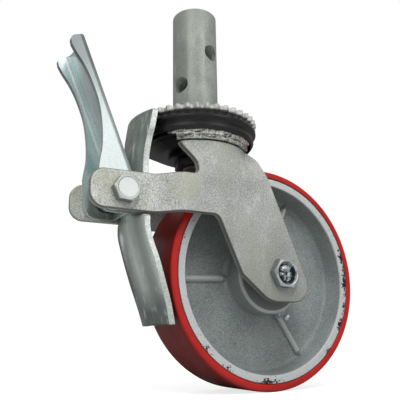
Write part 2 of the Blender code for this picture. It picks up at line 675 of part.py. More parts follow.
def make_weld_band(name, side, start_x, end_x, material):
    """A weld bead along the crown's rim, over a leg's top edge."""
    rim = CROWN_RADIUS + GAP
    thick = BAND_THICKNESS
    top = CROWN_RIM_TOP - thick / 3
    foot = -NECK_TOP + GAP
    low = CROWN_RIM_BOTTOM
    face = rim + thick
    back = NECK_RADIUS - thick / 2
    section = [(rim, top), (face - 0.3 * thick, top - 0.2 * thick), (face, top - 0.9 * thick),
               (face - 0.2 * thick, low + thick / 3), (rim + 0.2 * thick, low - 0.45 * thick),
               (NECK_RADIUS + 0.7 * thick, low - 1.1 * thick), (NECK_RADIUS + 0.9 * thick, foot),
               (back, foot), (back, low - 0.8 * thick), (CROWN_RADIUS - 0.7 * thick, low - thick / 3),
               (rim, low + GAP)]
    builder = bmesh.new()
    middle = (top + foot) / 2
    start = math.acos(start_x / face)
    end = math.acos(end_x / face)
    steps = round(abs(end - start) / BAND_STEP)
    rings = []
    for step in range(steps + 1):
        angle = side * (start + (end - start) * step / steps)
        share = BAND_END_SHARE if step in (0, steps) else 1.0
        ring = []
        for radius, height in section:
            wide = radius if radius <= rim else rim + (radius - rim) * share
            high = middle + (height - middle) * share if height > middle else height
            ring.append(builder.verts.new(place(wide, angle, high, "Z")))
        rings.append(ring)
    for ring, following in zip(rings, rings[1:]):
        for index in range(len(section)):
            after = (index + 1) % len(section)
            builder.faces.new((ring[index], ring[after], following[after], following[index]))
    builder.faces.new(rings[0])
    builder.faces.new(list(reversed(rings[-1])))
    return finish(add_object(name, builder), material)


def bolt(name, centre, radius, flats, head_from, head_to, end, turn, material):
    """A hexagon bolt along Y: the head between two places, then the shank to its end."""
    item = hexagon_blank(name, centre, flats, head_from, head_to, turn)
    inward = math.copysign(1.0, end - head_from)
    inside = (head_from + head_to) / 2
    shank = [(0.0, inside), (radius, inside), (radius, end - inward * BOLT_CHAMFER),
             (radius - BOLT_CHAMFER, end), (0.0, end)]
    tool = add_object("shank", turned(shank, ROUND_STEPS, "Y", (centre[0], 0.0, centre[2])))
    combine(item, tool, "UNION")
    return finish(item, material)


def nut(name, centre, bore, flats, start, end, turn, material, recess=None):
    item = hexagon_blank(name, centre, flats, start, end, turn)
    outward = math.copysign(1.0, end - start)
    radius = recess or bore
    depth = NUT_RECESS_DEPTH if recess else 0.0
    profile = [(0.0, start - outward * GAP), (bore, start - outward * GAP),
               (bore, end - outward * depth), (radius, end - outward * depth),
               (radius, end + outward * GAP), (0.0, end + outward * GAP)]
    if recess is None:
        del profile[2:4]
    tool = add_object("bore", turned(profile, ROUND_STEPS, "Y", (centre[0], 0.0, centre[2])))
    combine(item, tool, "DIFFERENCE")
    return finish(item, material)


def sleeve(name, centre, inner, outer, start, end, material):
    profile = ring_profile(inner, outer, start, end)
    middle = (centre[0], 0.0, centre[2])
    return finish(add_object(name, turned(profile, ROUND_STEPS, "Y", middle)), material)


def make_axle(materials):
    zinc = materials["bright zinc"]
    face = LEG_HALF_WIDTH + GAP
    inner = LEG_INNER - GAP
    bolt("axle_bolt", AXLE, AXLE_RADIUS, AXLE_NUT_FLATS, face, face + AXLE_HEAD_HEIGHT,
         -LEG_HALF_WIDTH - AXLE_TAIL, math.radians(20.0), zinc)
    nut("axle_nut", AXLE, AXLE_RADIUS + GAP, AXLE_NUT_FLATS, -face, -face - AXLE_NUT_HEIGHT,
        math.radians(-4.0), zinc, NUT_RECESS_RADIUS)
    sleeve("axle_sleeve", AXLE, AXLE_RADIUS + GAP, SLEEVE_RADIUS, -inner, inner,
           materials["bearing steel"])
    hub_end = HUB_HALF_WIDTH + GAP
    sleeve("thrust_washer_near", AXLE, SLEEVE_RADIUS + GAP, WASHER_RADIUS, -inner, -hub_end, zinc)
    sleeve("thrust_washer_far", AXLE, SLEEVE_RADIUS + GAP, WASHER_RADIUS, hub_end, inner, zinc)


def make_brake_bolt(materials):
    zinc = materials["bright zinc"]
    face = ARM_HALF_WIDTH + GAP
    bolt("brake_bolt", BRAKE_BOLT, BRAKE_BOLT_RADIUS, BRAKE_FLATS, -face, -face - BRAKE_HEAD_HEIGHT,
         ARM_HALF_WIDTH + BRAKE_TAIL, math.radians(-5.0), zinc)
    nut("brake_nut", BRAKE_BOLT, BRAKE_BOLT_RADIUS + GAP, BRAKE_FLATS, face, face + BRAKE_NUT_HEIGHT,
        math.radians(12.0), zinc)
    inner = ARM_INNER - GAP
    sleeve("brake_sleeve", BRAKE_BOLT, BRAKE_BOLT_RADIUS + GAP, BRAKE_SLEEVE_RADIUS, -inner, inner,
           materials["bearing steel"])


def make_tyre(material):
    wide = TREAD_HALF_WIDTH
    edge = TYRE_EDGE
    shoulder = [(TYRE_INNER_RADIUS, wide - GAP), (TYRE_INNER_RADIUS + 0.4 * edge, wide),
                (WHEEL_RADIUS - edge, wide), (WHEEL_RADIUS - 0.45 * edge, wide - 0.27 * edge),
                (WHEEL_RADIUS - 0.14 * edge, wide - 0.8 * edge), (WHEEL_RADIUS, wide - 1.8 * edge)]
    profile = shoulder + [(radius, -width) for radius, width in reversed(shoulder)]
    return finish(add_object("tyre", turned(profile, WHEEL_STEPS, "Y", AXLE), AXLE), material)


def make_wheel_core(material):
    bore = BUSH_OUTER_RADIUS + GAP
    half = [(bore, HUB_HALF_WIDTH), (HUB_RADIUS - HUB_CHAMFER, HUB_HALF_WIDTH),
            (HUB_RADIUS, HUB_HALF_WIDTH - HUB_CHAMFER), (HUB_RADIUS, WEB_HALF_WIDTH + 2 * HUB_FOOT),
            (HUB_RADIUS + 0.3 * HUB_FOOT, WEB_HALF_WIDTH + 0.8 * HUB_FOOT),
            (HUB_RADIUS + HUB_FOOT, WEB_HALF_WIDTH),
            (RIM_FOOT_RADIUS - HUB_FOOT, WEB_HALF_WIDTH),
            (RIM_FOOT_RADIUS, WEB_HALF_WIDTH + HUB_FOOT),
            (RIM_EDGE_RADIUS, RIM_HALF_WIDTH), (RIM_RADIUS, RIM_HALF_WIDTH)]
    profile = half + [(radius, -width) for radius, width in reversed(half)]
    core = add_object("wheel_core", turned(profile, WHEEL_STEPS, "Y", AXLE), AXLE)
    inner = (BUSH_OUTER_RADIUS + HUB_RADIUS) / 2
    outer = (RIM_FOOT_RADIUS + RIM_RADIUS) / 2
    tip = RIB_HALF_DEPTH
    for index in range(RIB_COUNT):
        outline = [(inner, -RIB_HALF_WIDTH), (outer, -RIB_HALF_WIDTH),
                   (outer, RIB_HALF_WIDTH), (inner, RIB_HALF_WIDTH)]
        rib = add_object("rib", extruded(outline, -tip, tip))
        rib.rotation_euler = (0.0, -math.pi - math.tau * index / RIB_COUNT, 0.0)
        rib.location = AXLE
        combine(core, rib, "UNION")
    return finish(core, material)


def make_hub_bush(material):
    profile = ring_profile(BUSH_INNER_RADIUS, BUSH_OUTER_RADIUS, -HUB_HALF_WIDTH, HUB_HALF_WIDTH)
    return finish(add_object("hub_bush", turned(profile, ROUND_STEPS, "Y", AXLE), AXLE), material)


def make_grease_nipple(material):
    base = NIPPLE_RADIUS
    length = NIPPLE_LENGTH
    profile = [(0.0, length), (0.45 * base, length), (0.72 * base, 0.88 * length),
               (0.72 * base, 0.74 * length), (0.50 * base, 0.60 * length),
               (0.62 * base, 0.42 * length), (base, 0.40 * length), (base, 0.0), (0.0, 0.0)]
    radial = HUB_RADIUS + GAP + base * math.sin(math.pi / 4)
    nipple = add_object("grease_nipple", turned(profile, SMALL_STEPS, "Z"))
    across = math.cos(NIPPLE_ANGLE)
    along = math.sin(NIPPLE_ANGLE)
    nipple.location = (AXLE[0] + radial * across, -NIPPLE_SHARE * HUB_HALF_WIDTH, AXLE[2] + radial * along)
    direction = (across * math.sin(math.pi / 4), -math.cos(math.pi / 4), along * math.sin(math.pi / 4))
    tilt = math.acos(direction[2])
    heading = math.atan2(direction[1], direction[0])
    nipple.rotation_euler = (0.0, tilt, heading)
    return finish(nipple, material)


def pedal_point(along, out):
    """A point given along the web from the brake bolt's level, and out from its outer face."""
    direction = (-math.cos(PEDAL_SLOPE), math.sin(PEDAL_SLOPE))
    normal = (math.sin(PEDAL_SLOPE), math.cos(PEDAL_SLOPE))
    return (BRAKE_BOLT[0] + direction[0] * along + normal[0] * (PEDAL_WEB_OFFSET + out),
            BRAKE_BOLT[2] + direction[1] * along + normal[1] * (PEDAL_WEB_OFFSET + out))


def pedal_web_reach(height):
    """Distance along the web to where its outer face is this high above the brake bolt."""
    return (height - math.cos(PEDAL_SLOPE) * PEDAL_WEB_OFFSET) / math.sin(PEDAL_SLOPE)


def pedal_outline():
    """A cheek's outline: its depth behind the web is least at two thirds of its length."""
    top = pedal_web_reach(PEDAL_TOP + BRAKE_DROP)
    low = pedal_web_reach(PEDAL_WEB_END)
    bolt_x, bolt_z = BRAKE_BOLT[0], BRAKE_BOLT[2]
    edge = PEDAL_CORNER
    deep = PEDAL_LIP_DEPTH
    outline = [pedal_point(low, 0.0), pedal_point(top - edge, 0.0), pedal_point(top, -edge)]
    outline += [pedal_point(top, -0.67 * deep), pedal_point(top - 0.17 * deep, -0.92 * deep)]
    shares = [(0.18, 1.88), (0.286, 1.33), (0.367, 1.03), (0.465, 0.77), (0.60, 0.583),
              (0.68, 0.583), (0.75, 0.625), (0.823, 0.733), (0.894, 0.908), (0.948, 1.0)]
    for share in steps_between(0.948, 0.18, 12):
        outline.append(pedal_point(share * top, -deep * between(shares, share)))
    start, end = math.radians(163.0), math.radians(340.0)
    steps = 14
    for step in range(steps + 1):
        share = step / steps
        angle = start + (end - start) * share
        growth = CAM_GROWTH * (1.0 - ease((share - 0.30) / 0.45))
        radius = CAM_SMALL_RADIUS + growth
        outline.append((bolt_x + radius * math.cos(angle), bolt_z + radius * math.sin(angle)))
    outline.append((bolt_x + CAM_SMALL_RADIUS, bolt_z + 0.2 * PEDAL_WEB_END))
    return outline


def make_pedal(material):
    """A channel open to the left, whose two cheeks end in cams round the brake bolt."""
    pedal = add_object("pedal", extruded(pedal_outline(), -PEDAL_HALF_WIDTH, PEDAL_HALF_WIDTH),
                       BRAKE_BOLT)
    top = pedal_web_reach(PEDAL_TOP + BRAKE_DROP)
    low = pedal_web_reach(PEDAL_WEB_END)
    far_left = -6 * PEDAL_WEB_OFFSET
    channel = [pedal_point(low, 2 * PEDAL_WALL), pedal_point(low, -PEDAL_WALL),
               pedal_point(2 * top, -PEDAL_WALL), pedal_point(2 * top, far_left),
               pedal_point(-top, far_left), pedal_point(-top, 4 * PEDAL_WALL)]
    combine(pedal, add_object("channel", extruded(channel, -PEDAL_INNER, PEDAL_INNER)), "DIFFERENCE")
    bore = BRAKE_SLEEVE_RADIUS + GAP
    wide = 2 * PEDAL_HALF_WIDTH
    combine(pedal, rod("hole", BRAKE_BOLT, bore, -wide, wide), "DIFFERENCE")
    dip = [(share * PEDAL_INNER, top - PEDAL_DIP * (1.0 - share ** 2))
           for share in steps_between(-1.0, 1.0, 6)]
    dip += [(PEDAL_INNER, top + PEDAL_DIP), (-PEDAL_INNER, top + PEDAL_DIP)]
    builder = bmesh.new()
    layers = []
    for out in (-2 * PEDAL_WALL, PEDAL_WALL):
        spots = [(pedal_point(along, out), y) for y, along in dip]
        layers.append([builder.verts.new((spot[0], y, spot[1])) for spot, y in spots])
    builder.faces.new(layers[0])
    builder.faces.new(list(reversed(layers[1])))
    for index in range(len(dip)):
        following = (index + 1) % len(dip)
        builder.faces.new((layers[0][index], layers[0][following],
                           layers[1][following], layers[1][index]))
    combine(pedal, add_object("dip", builder), "DIFFERENCE")
    return finish(pedal, material)


def shoe_edge(z):
    """X of the shoe's inner face at its edges: round the tyre below, clear of the ring above."""
    bolt_z, axle_z = BRAKE_BOLT[2], AXLE[2]
    tyre, ring = -TYRE_BACK, -RING_RADIUS
    reach = SHOE_BOTTOM
    arm = ARM_HALF_HEIGHT
    bow = SHOE_RISE
    stations = [(axle_z - reach, tyre + 0.68 * bow), (axle_z - 0.65 * reach, tyre + 0.10 * bow),
                (axle_z - 0.23 * reach, tyre - 0.74 * bow), (axle_z + 0.16 * reach, tyre - 1.51 * bow),
                (bolt_z - 1.9 * arm, ring - 0.32 * bow), (bolt_z - 1.16 * arm, ring - 0.42 * bow),
                (bolt_z + 1.24 * arm, ring - 0.26 * bow), (bolt_z + 2.43 * arm, ring - 0.18 * bow),
                (-SEAL_HEIGHT - SHOE_TOP, ring + 0.07 * bow), (-SHOE_TOP, ring + 0.56 * bow)]
    return between(stations, z)


def shoe_half_width(z):
    """The shoe is narrow between the arms, and wider above and below them."""
    reach = SHOE_BOTTOM
    arm = ARM_HALF_HEIGHT
    bolt_z, axle_z = BRAKE_BOLT[2], AXLE[2]
    stations = [(axle_z - reach, 0.43), (axle_z - 0.42 * reach, 0.84), (axle_z + 0.16 * reach, 1.0),
                (axle_z + 0.6 * reach, 0.84), (bolt_z, 0.79), (bolt_z + 1.24 * arm, 0.0),
                (bolt_z + 3.0 * arm, 0.31), (bolt_z + 3.7 * arm, 0.62), (-SHOE_TOP, 0.70)]
    flare = SHOE_FLARE * between(stations, z)
    shoulder = bolt_z - arm - SIDE_PLAY
    if shoulder - SHOE_SHOULDER < z < bolt_z + arm + SIDE_PLAY:
        depth = max(0.0, (shoulder - z) / SHOE_SHOULDER)
        flare *= math.sqrt(1.0 - (1.0 - depth) ** 2) if z < bolt_z else 0.0
    return PEDAL_HALF_WIDTH + flare


def shoe_outer(y, z):
    """X of the shoe's outer face."""
    share = 1.0 - (y / shoe_half_width(z)) ** 2
    return shoe_edge(z) - SHOE_THICKNESS - SHOE_RISE * share


def make_brake_shoe(material):
    """An arched plate, bowed towards -X, that hangs between pedal and wheel."""
    shoulder = BRAKE_BOLT[2] - ARM_HALF_HEIGHT - SIDE_PLAY
    rows = steps_between(AXLE[2] - SHOE_BOTTOM, shoulder - SHOE_SHOULDER, 7)
    rows += [shoulder - 0.4 * SHOE_SHOULDER, shoulder - 0.1 * SHOE_SHOULDER]
    rows += steps_between(shoulder, -SHOE_TOP, 8)
    shares = [index / 4 for index in range(-4, 5)]
    builder = bmesh.new()
    layers = []
    for shift in (0.0, SHOE_THICKNESS):
        layer = []
        for z in rows:
            wide = shoe_half_width(z)
            layer.append([builder.verts.new((shoe_outer(share * wide, z) + shift, share * wide, z))
                          for share in shares])
        layers.append(layer)
    last_row, last_column = len(rows) - 1, len(shares) - 1
    for layer in layers:
        for row in range(last_row):
            for column in range(last_column):
                builder.faces.new((layer[row][column], layer[row][column + 1],
                                   layer[row + 1][column + 1], layer[row + 1][column]))
    for column in range(last_column):
        for row in (0, last_row):
            builder.faces.new((layers[0][row][column], layers[0][row][column + 1],
                               layers[1][row][column + 1], layers[1][row][column]))
    for row in range(last_row):
        for column in (0, last_column):
            builder.faces.new((layers[0][row][column], layers[0][row + 1][column],
                               layers[1][row + 1][column], layers[1][row][column]))
    return finish(add_object("brake_shoe", builder, SHOE_HINGE), material)


def make_shoe_bracket(material):
    """A channel behind the shoe, whose two ears are slotted over the brake bolt's sleeve."""
    bolt_x, bolt_z = BRAKE_BOLT[0], BRAKE_BOLT[2]
    tall = BRACKET_HALF_HEIGHT
    crest = min(shoe_outer(0.0, z) for z in steps_between(bolt_z - tall, bolt_z + tall, 12)) - GAP
    ear = BRACKET_TAIL
    edge = BRACKET_WALL / 2
    outline = rounded([(crest, bolt_z - tall, edge), (crest, bolt_z + tall, edge),
                       (crest - 2 * BRACKET_WALL, bolt_z + tall, edge),
                       (bolt_x - ear, bolt_z + ear, ear),
                       (bolt_x - ear, bolt_z - ear, ear),
                       (crest - 2 * BRACKET_WALL, bolt_z - tall, edge)])
    wide = BRACKET_HALF_WIDTH
    bracket = add_object("shoe_bracket", extruded(outline, -wide, wide), SHOE_HINGE)
    inside = wide - BRACKET_WALL
    space = [(crest - BRACKET_WALL, bolt_z - 2 * tall), (crest - BRACKET_WALL, bolt_z + 2 * tall),
             (bolt_x - 2 * ear, bolt_z + 2 * tall), (bolt_x - 2 * ear, bolt_z - 2 * tall)]
    combine(bracket, add_object("space", extruded(space, -inside, inside)), "DIFFERENCE")
    bore = BRAKE_SLEEVE_RADIUS + GAP
    slot = arc((bolt_x + SLOT_TRAVEL, bolt_z), bore, -math.pi / 2, math.pi / 2, 14)
    slot += arc((bolt_x - SLOT_TRAVEL, bolt_z), bore, math.pi / 2, 1.5 * math.pi, 14)
    combine(bracket, add_object("slot", extruded(slot, -2 * wide, 2 * wide)), "DIFFERENCE")
    return finish(bracket, material)


def make_cam_pad(name, side, material):
    """A block on the shoe that a cheek's cam presses."""
    bolt_x, bolt_z = BRAKE_BOLT[0], BRAKE_BOLT[2]
    face = bolt_x + CAM_SMALL_RADIUS + SHOE_PLAY
    inner = PEDAL_INNER + PAD_INSET
    outer = PEDAL_HALF_WIDTH - PAD_INSET
    low, high = bolt_z - PAD_HALF_HEIGHT, bolt_z + PAD_HALF_HEIGHT
    heights = steps_between(low, high, 4)
    back_inner = min(shoe_outer(inner, z) for z in heights) - GAP
    back_outer = min(shoe_outer(outer, z) for z in heights) - GAP
    outline = [(face, side * inner), (back_inner, side * inner), (back_outer, side * outer),
               (face, side * outer)]
    pad = add_object(name, extruded(outline, low, high, "Z"), SHOE_HINGE)
    return finish(pad, material)


def main():
    clear_scene()
    materials = make_materials()
    make_stem(materials["stem steel"])
    make_stem_weld(materials["weld"])
    make_lock_ring(materials["ring steel"])
    make_upper_race(materials["bearing steel"])
    make_balls(materials["bearing steel"])
    make_ball_cage(materials["bronze"])
    make_dust_seal(materials["seal"])
    make_lower_race(materials["crown"])
    make_king_nut(materials["crown"])
    make_crown(materials["crown"])
    make_leg("near_leg", -1, materials["galvanised"])
    make_leg("far_leg", 1, materials["galvanised"])
    weld = materials["weld"]
    make_weld_band("near_weld", -1, -NECK_LEFT - BAND_OVERRUN, NECK_RIGHT + BAND_OVERRUN, weld)
    make_weld_band("far_weld", 1, FAR_NECK_START, NECK_RIGHT + BAND_OVERRUN, weld)
    make_axle(materials)
    make_brake_bolt(materials)
    make_tyre(materials["tyre"])
    make_wheel_core(materials["wheel paint"])
    make_hub_bush(materials["bronze"])
    make_grease_nipple(materials["bright zinc"])
    make_pedal(materials["bright zinc"])
    make_brake_shoe(materials["brake steel"])
    make_shoe_bracket(materials["brake steel"])
    make_cam_pad("cam_pad_near", -1, materials["brake steel"])
    make_cam_pad("cam_pad_far", 1, materials["brake steel"])


main()
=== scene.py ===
import json
import math

import bmesh
import bpy
from mathutils import Matrix, Vector, noise


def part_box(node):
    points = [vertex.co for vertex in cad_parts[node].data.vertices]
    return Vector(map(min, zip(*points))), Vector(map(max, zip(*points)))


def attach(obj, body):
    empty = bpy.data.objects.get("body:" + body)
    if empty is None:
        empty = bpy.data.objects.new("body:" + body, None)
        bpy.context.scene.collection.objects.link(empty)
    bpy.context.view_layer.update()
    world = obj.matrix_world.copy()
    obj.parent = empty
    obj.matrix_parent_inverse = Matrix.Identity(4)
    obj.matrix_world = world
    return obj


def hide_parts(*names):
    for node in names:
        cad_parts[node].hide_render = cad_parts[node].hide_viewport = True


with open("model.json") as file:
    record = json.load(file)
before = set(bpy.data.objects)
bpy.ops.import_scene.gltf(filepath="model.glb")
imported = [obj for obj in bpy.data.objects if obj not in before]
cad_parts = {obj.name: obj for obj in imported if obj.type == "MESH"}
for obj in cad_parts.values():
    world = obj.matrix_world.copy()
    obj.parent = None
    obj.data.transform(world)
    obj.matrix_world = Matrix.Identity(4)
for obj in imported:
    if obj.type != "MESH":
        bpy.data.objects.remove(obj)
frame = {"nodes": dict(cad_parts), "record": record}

bl_info = {
    "name": "Scaffold castor",
    "version": (1, 0, 0),
    "blender": (4, 5, 0),
    "location": "View3D > Sidebar > Castor",
    "description": "Dresses the scaffold castor and lights it",
    "category": "Object",
}

MM = 0.001


# Places read from the frame

def corner(node, high, axis):
    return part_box(node)[1 if high else 0][axis]


JOINTS = {joint["name"]: joint for joint in frame["record"]["behaviour"]["joints"]}
AXLE = Vector(JOINTS["wheel_spin"]["pos_m"])
BOLT = Vector(JOINTS["pedal_press"]["pos_m"])

STEM_RADIUS = corner("stem", True, 0)
STEM_TOP = corner("stem", True, 2)
STEM_END = corner("stem", False, 2)
RING_TIP = corner("lock_ring", True, 0)
RING_BOTTOM = corner("lock_ring", False, 2)
SEAL_RADIUS = corner("dust_seal", True, 0)
SEAL_TOP = corner("dust_seal", True, 2)
SEAL_BOTTOM = corner("dust_seal", False, 2)
CROWN_RADIUS = corner("crown", True, 0)
LEG_FACE = -corner("near_leg", False, 1)
NECK_TOP = corner("near_leg", True, 2)
WHEEL_RADIUS = corner("tyre", True, 0) - AXLE.x
TREAD_HALF = corner("tyre", True, 1)
PEDAL_HALF = corner("pedal", True, 1)
SHOE_TOP = corner("brake_shoe", True, 2)
SHOE_BOTTOM = corner("brake_shoe", False, 2)
HUB_HALF = corner("wheel_core", True, 1)
NUT_FACE = corner("axle_nut", False, 1)
FLOOR = corner("tyre", False, 2)

# Sizes that the frame's boxes don't give, in metres
GAP = 0.3 * MM
STEM_CHAMFER = 1.2 * MM
CROSS_HOLE = 6.65 * MM
CROSS_HOLES = ((29.2 * MM, math.radians(110.0)), (57.0 * MM, math.radians(20.0)))
KING_PIN = 10.0 * MM
TOOTH_COUNT = 40
TOOTH_DEPTH = 2.0 * MM
TOOTH_RELIEF = 0.6 * MM
VALLEY_DROP = 0.30
PLATE = 5.0 * MM
ARM_FACE = 24.7 * MM
NECK_RADIUS = 37.5 * MM
NECK_SPAN = 26.0 * MM
NECK_LEFT = 27.5 * MM
NECK_RIGHT = 25.5 * MM
FAR_NECK_START = 8.0 * MM
BAND_OVERRUN = 3.0 * MM
LEG_END = 19.7 * MM
ARM_HALF_HEIGHT = 13.1 * MM
ARM_TAIL = 23.3 * MM
ARM_CORNER = 10.0 * MM
BEND_HEIGHT = 22.0 * MM
BEND_TOP = 27.5 * MM
JOGGLE_START = -47.0 * MM
JOGGLE_END = -27.0 * MM
TYRE_THICKNESS = 5.2 * MM
RIM_HALF = 22.3 * MM
RIM_EDGE = 69.0 * MM
RIM_FOOT = 66.5 * MM
WEB_HALF = 6.0 * MM
HUB_RADIUS = 26.9 * MM
BUSH_RADIUS = 11.3 * MM
RIB_START = math.radians(177.5)
PEDAL_WALL = 4.0 * MM
PEDAL_SLOPE = math.radians(68.2)
PEDAL_WEB_OFFSET = 13.4 * MM
PEDAL_WEB_END = 15.2 * MM
PEDAL_LIP_DEPTH = 12.0 * MM
PEDAL_CORNER = 1.5 * MM
PEDAL_DIP = 3.0 * MM
CAM_SMALL = 10.4 * MM
CAM_GROWTH = 4.5 * MM
SHOE_THICKNESS = 4.2 * MM
SHOE_RISE = 5.7 * MM
SHOE_FLARE = 6.8 * MM
SHOE_SHOULDER = 3.0 * MM
SHOE_COLUMNS = 28
SHOE_ROWS = 150
CAP_POINTS = 8
RING_SECTION_POINTS = 41
AXLE_FLATS = 19.0 * MM
BRAKE_BOLT_FLATS = 16.5 * MM
THREAD_CREST = 6.0 * MM
THREAD_ROOT = 5.35 * MM
THREAD_PITCH = 1.75 * MM
NUT_RECESS = 2.6 * MM
BAND_PROUD = 1.8 * MM
BEAD_WIDTH = 2.7 * MM
BEAD_HEIGHT = 2.4 * MM
NIPPLE_LENGTH = 11.0 * MM
NIPPLE_OUTWARD = 0.6 * MM
PEDAL_BEND = 4.6 * MM
PEDAL_HOLE = 8.3 * MM
RIDGE_PITCH = 1.5 * MM
RIDGE_HEIGHT = 0.18 * MM
# Steps round the turned pieces
STEM_STEPS = 160
HOLE_STEPS = 96
BOLT_STEPS = 64
TYRE_STEPS = 240
CORE_STEPS = 200
NIPPLE_STEPS = 48
# Circles on the nut's turned end face, which bound its painted shade and painted highlights
NUT_TURNED = 7.6 * MM
NUT_SHADE_RING = 5.5 * MM
NUT_PIP = 2.8 * MM
NUT_DOT = 0.9 * MM

# The camera stands where the picture was taken from, and looks up at the castor
CAMERA_PLACE = Vector((-183.43, -334.24, -157.86)) * MM
CAMERA_YAW = math.radians(-28.960)
CAMERA_PITCH = math.radians(14.594)
CAMERA_ROLL = math.radians(0.761)
CAMERA_LENS = 47.39
SENSOR_WIDTH = 36.0


# The surroundings' brightness: an even part, its slope to the right and upwards, and soft
# glows as (direction, width in degrees, strength)
AMBIENT = 0.29
AMBIENT_RIGHT = 0.03
AMBIENT_UP = 0.06
GLOWS = (((0.33, -0.88, 0.30), 22.0, 1.1),
         ((0.20, -0.80, 0.57), 20.0, 0.6),
         ((-0.67, -0.53, 0.52), 22.0, 0.95),
         ((-0.64, -0.72, 0.24), 18.0, 0.7),
         ((-0.20, 0.975, -0.05), 12.0, 1.2),
         ((0.48, 0.87, 0.10), 42.0, -0.24))
FLOOR_GLOW = 0.75
FLOOR_HALF = 6.0
# Lamps as (name, place, size, power in watts); they point at the castor's middle
LAMPS = (("key_lamp", (-0.22, -0.58, 0.44), 0.24, 2.4),
         ("top_lamp", (-0.08, -0.40, 0.75), 0.40, 5.0))
LAMP_TARGET = Vector((0.0, 0.0, -0.06))


# Where the rim's paint is chipped, as (degrees round the axle, spread, strength)
CHIP_PLACES = ((14.0, 12.0, 1.4), (-1.0, 14.0, 1.7), (-15.0, 12.0, 1.3), (-28.0, 10.0, 1.4),
               (-48.0, 9.0, 1.0), (-95.0, 14.0, 1.4), (-121.0, 6.0, 1.0), (-137.0, 6.0, 1.3),
               (158.0, 16.0, 0.5))
# Painted highlight and painted shade in pale and dark bands across the shoe, as (share of its width
# from the near edge, level)
SHOE_REFLECTION_BANDS = ((0.0, 0.95), (0.035, 0.79), (0.088, 0.53), (0.148, 0.46), (0.21, 0.53),
              (0.281, 0.74), (0.354, 1.0), (0.44, 0.76), (0.537, 0.52), (0.654, 0.30),
              (0.815, 0.08), (1.0, 0.03))


def length_property(name, description, default, low, high):
    """A size in millimetres, kept in metres."""
    return bpy.props.FloatProperty(name=name, description=description, default=default * MM,
                                   min=low * MM, max=high * MM, subtype="DISTANCE", unit="LENGTH")


class CastorSizes(bpy.types.PropertyGroup):
    plate_edge: length_property("Plate edge", "Rounding of the fork plates' edges", 0.9, 0.1, 2.0)
    sheet_edge: length_property(
        "Sheet edge", "Rounding of the pedal's and the shoe's cut edges", 0.5, 0.1, 1.5)
    tooth_round: length_property(
        "Tooth rounding", "Rounding of the lock ring's rim", 1.3, 0.1, 2.2)
    bead_size: length_property(
        "Bead size", "Width of one ripple in the weld beads", 2.4, 0.5, 4.0)
    rib_width: length_property("Rib width", "Width of the wheel's ribs", 4.2, 1.0, 6.0)
    rib_height: length_property(
        "Rib height", "How far a rib stands off the web", 3.0, 0.5, 6.0)


def colour_property(name, description, default):
    return bpy.props.FloatVectorProperty(name=name, description=description, default=default,
                                         min=0.0, max=1.0, size=3, subtype="COLOR")


class CastorColours(bpy.types.PropertyGroup):
    galvanised: colour_property("Galvanised", "Fork plates", (0.60, 0.61, 0.58))
    stem: colour_property("Stem", "Stem zinc", (0.47, 0.50, 0.46))
    zinc: colour_property("Zinc", "Bright zinc of the bolts", (0.66, 0.70, 0.70))
    pedal: colour_property("Pedal", "Bright zinc of the pedal", (0.64, 0.71, 0.70))
    # The shoe's colour is its zinc where the painted highlight band is palest
    shoe: colour_property("Shoe", "Zinc of the shoe's palest band", (0.80, 0.86, 0.82))
    casting: colour_property("Casting", "Grey paint on the wheel core", (0.290, 0.318, 0.314))
    rim: colour_property("Rim", "Pale paint on the rim's face", (0.62, 0.64, 0.64))
    tyre: colour_property("Tyre", "Tyre", (0.43, 0.013, 0.010))
    # The crown's black is partly its own dark finish and partly painted shade
    black: colour_property("Black", "Seal and crown", (0.008, 0.008, 0.009))
    weld: colour_property("Weld", "Weld beads", (0.66, 0.66, 0.62))
    ring: colour_property("Ring", "Zinc of the toothed ring", (0.62, 0.63, 0.60))
    bolt: colour_property("Bolt", "Near face of the brake bolt", (0.68, 0.71, 0.69))


# Mesh helpers

def place(radius, angle, height, axis):
    """A point on a circle round Z or Y; the angle starts at +X and turns to +Y or +Z."""
    across = radius * math.cos(angle)
    along = radius * math.sin(angle)
    return (across, along, height) if axis == "Z" else (across, height, along)


def arc(centre, radius, start, end, steps):
    points = []
    for step in range(steps + 1):
        angle = start + (end - start) * step / steps
        points.append((centre[0] + radius * math.cos(angle), centre[1] + radius * math.sin(angle)))
    return points


def rounded(corners, steps, closed=True):
    """An outline from (x, y, fillet radius) corners."""
    outline = []
    count = len(corners)
    for index, (x, y, radius) in enumerate(corners):
        end_point = not closed and index in (0, count - 1)
        if radius <= 0.0 or end_point:
            outline.append((x, y))
            continue
        here = Vector((x, y))
        before = Vector(corners[index - 1][:2]) - here
        after = Vector(corners[(index + 1) % count][:2]) - here
        half = before.angle(after) / 2
        reach = min(radius / math.tan(half), 0.48 * before.length, 0.48 * after.length)
        size = reach * math.tan(half)
        middle = before.normalized() + after.normalized()
        centre = here + middle.normalized() * (size / math.sin(half))
        first = here + before.normalized() * reach - centre
        last = here + after.normalized() * reach - centre
        start = math.atan2(first.y, first.x)
        turn = (math.atan2(last.y, last.x) - start + math.pi) % math.tau - math.pi
        outline.extend(arc(centre, size, start, start + turn, steps))
    return outline


def ease(value):
    value = max(0.0, min(1.0, value))
    return value * value * (3.0 - 2.0 * value)


def steps_between(start, end, count):
    return [start + (end - start) * step / count for step in range(count + 1)]


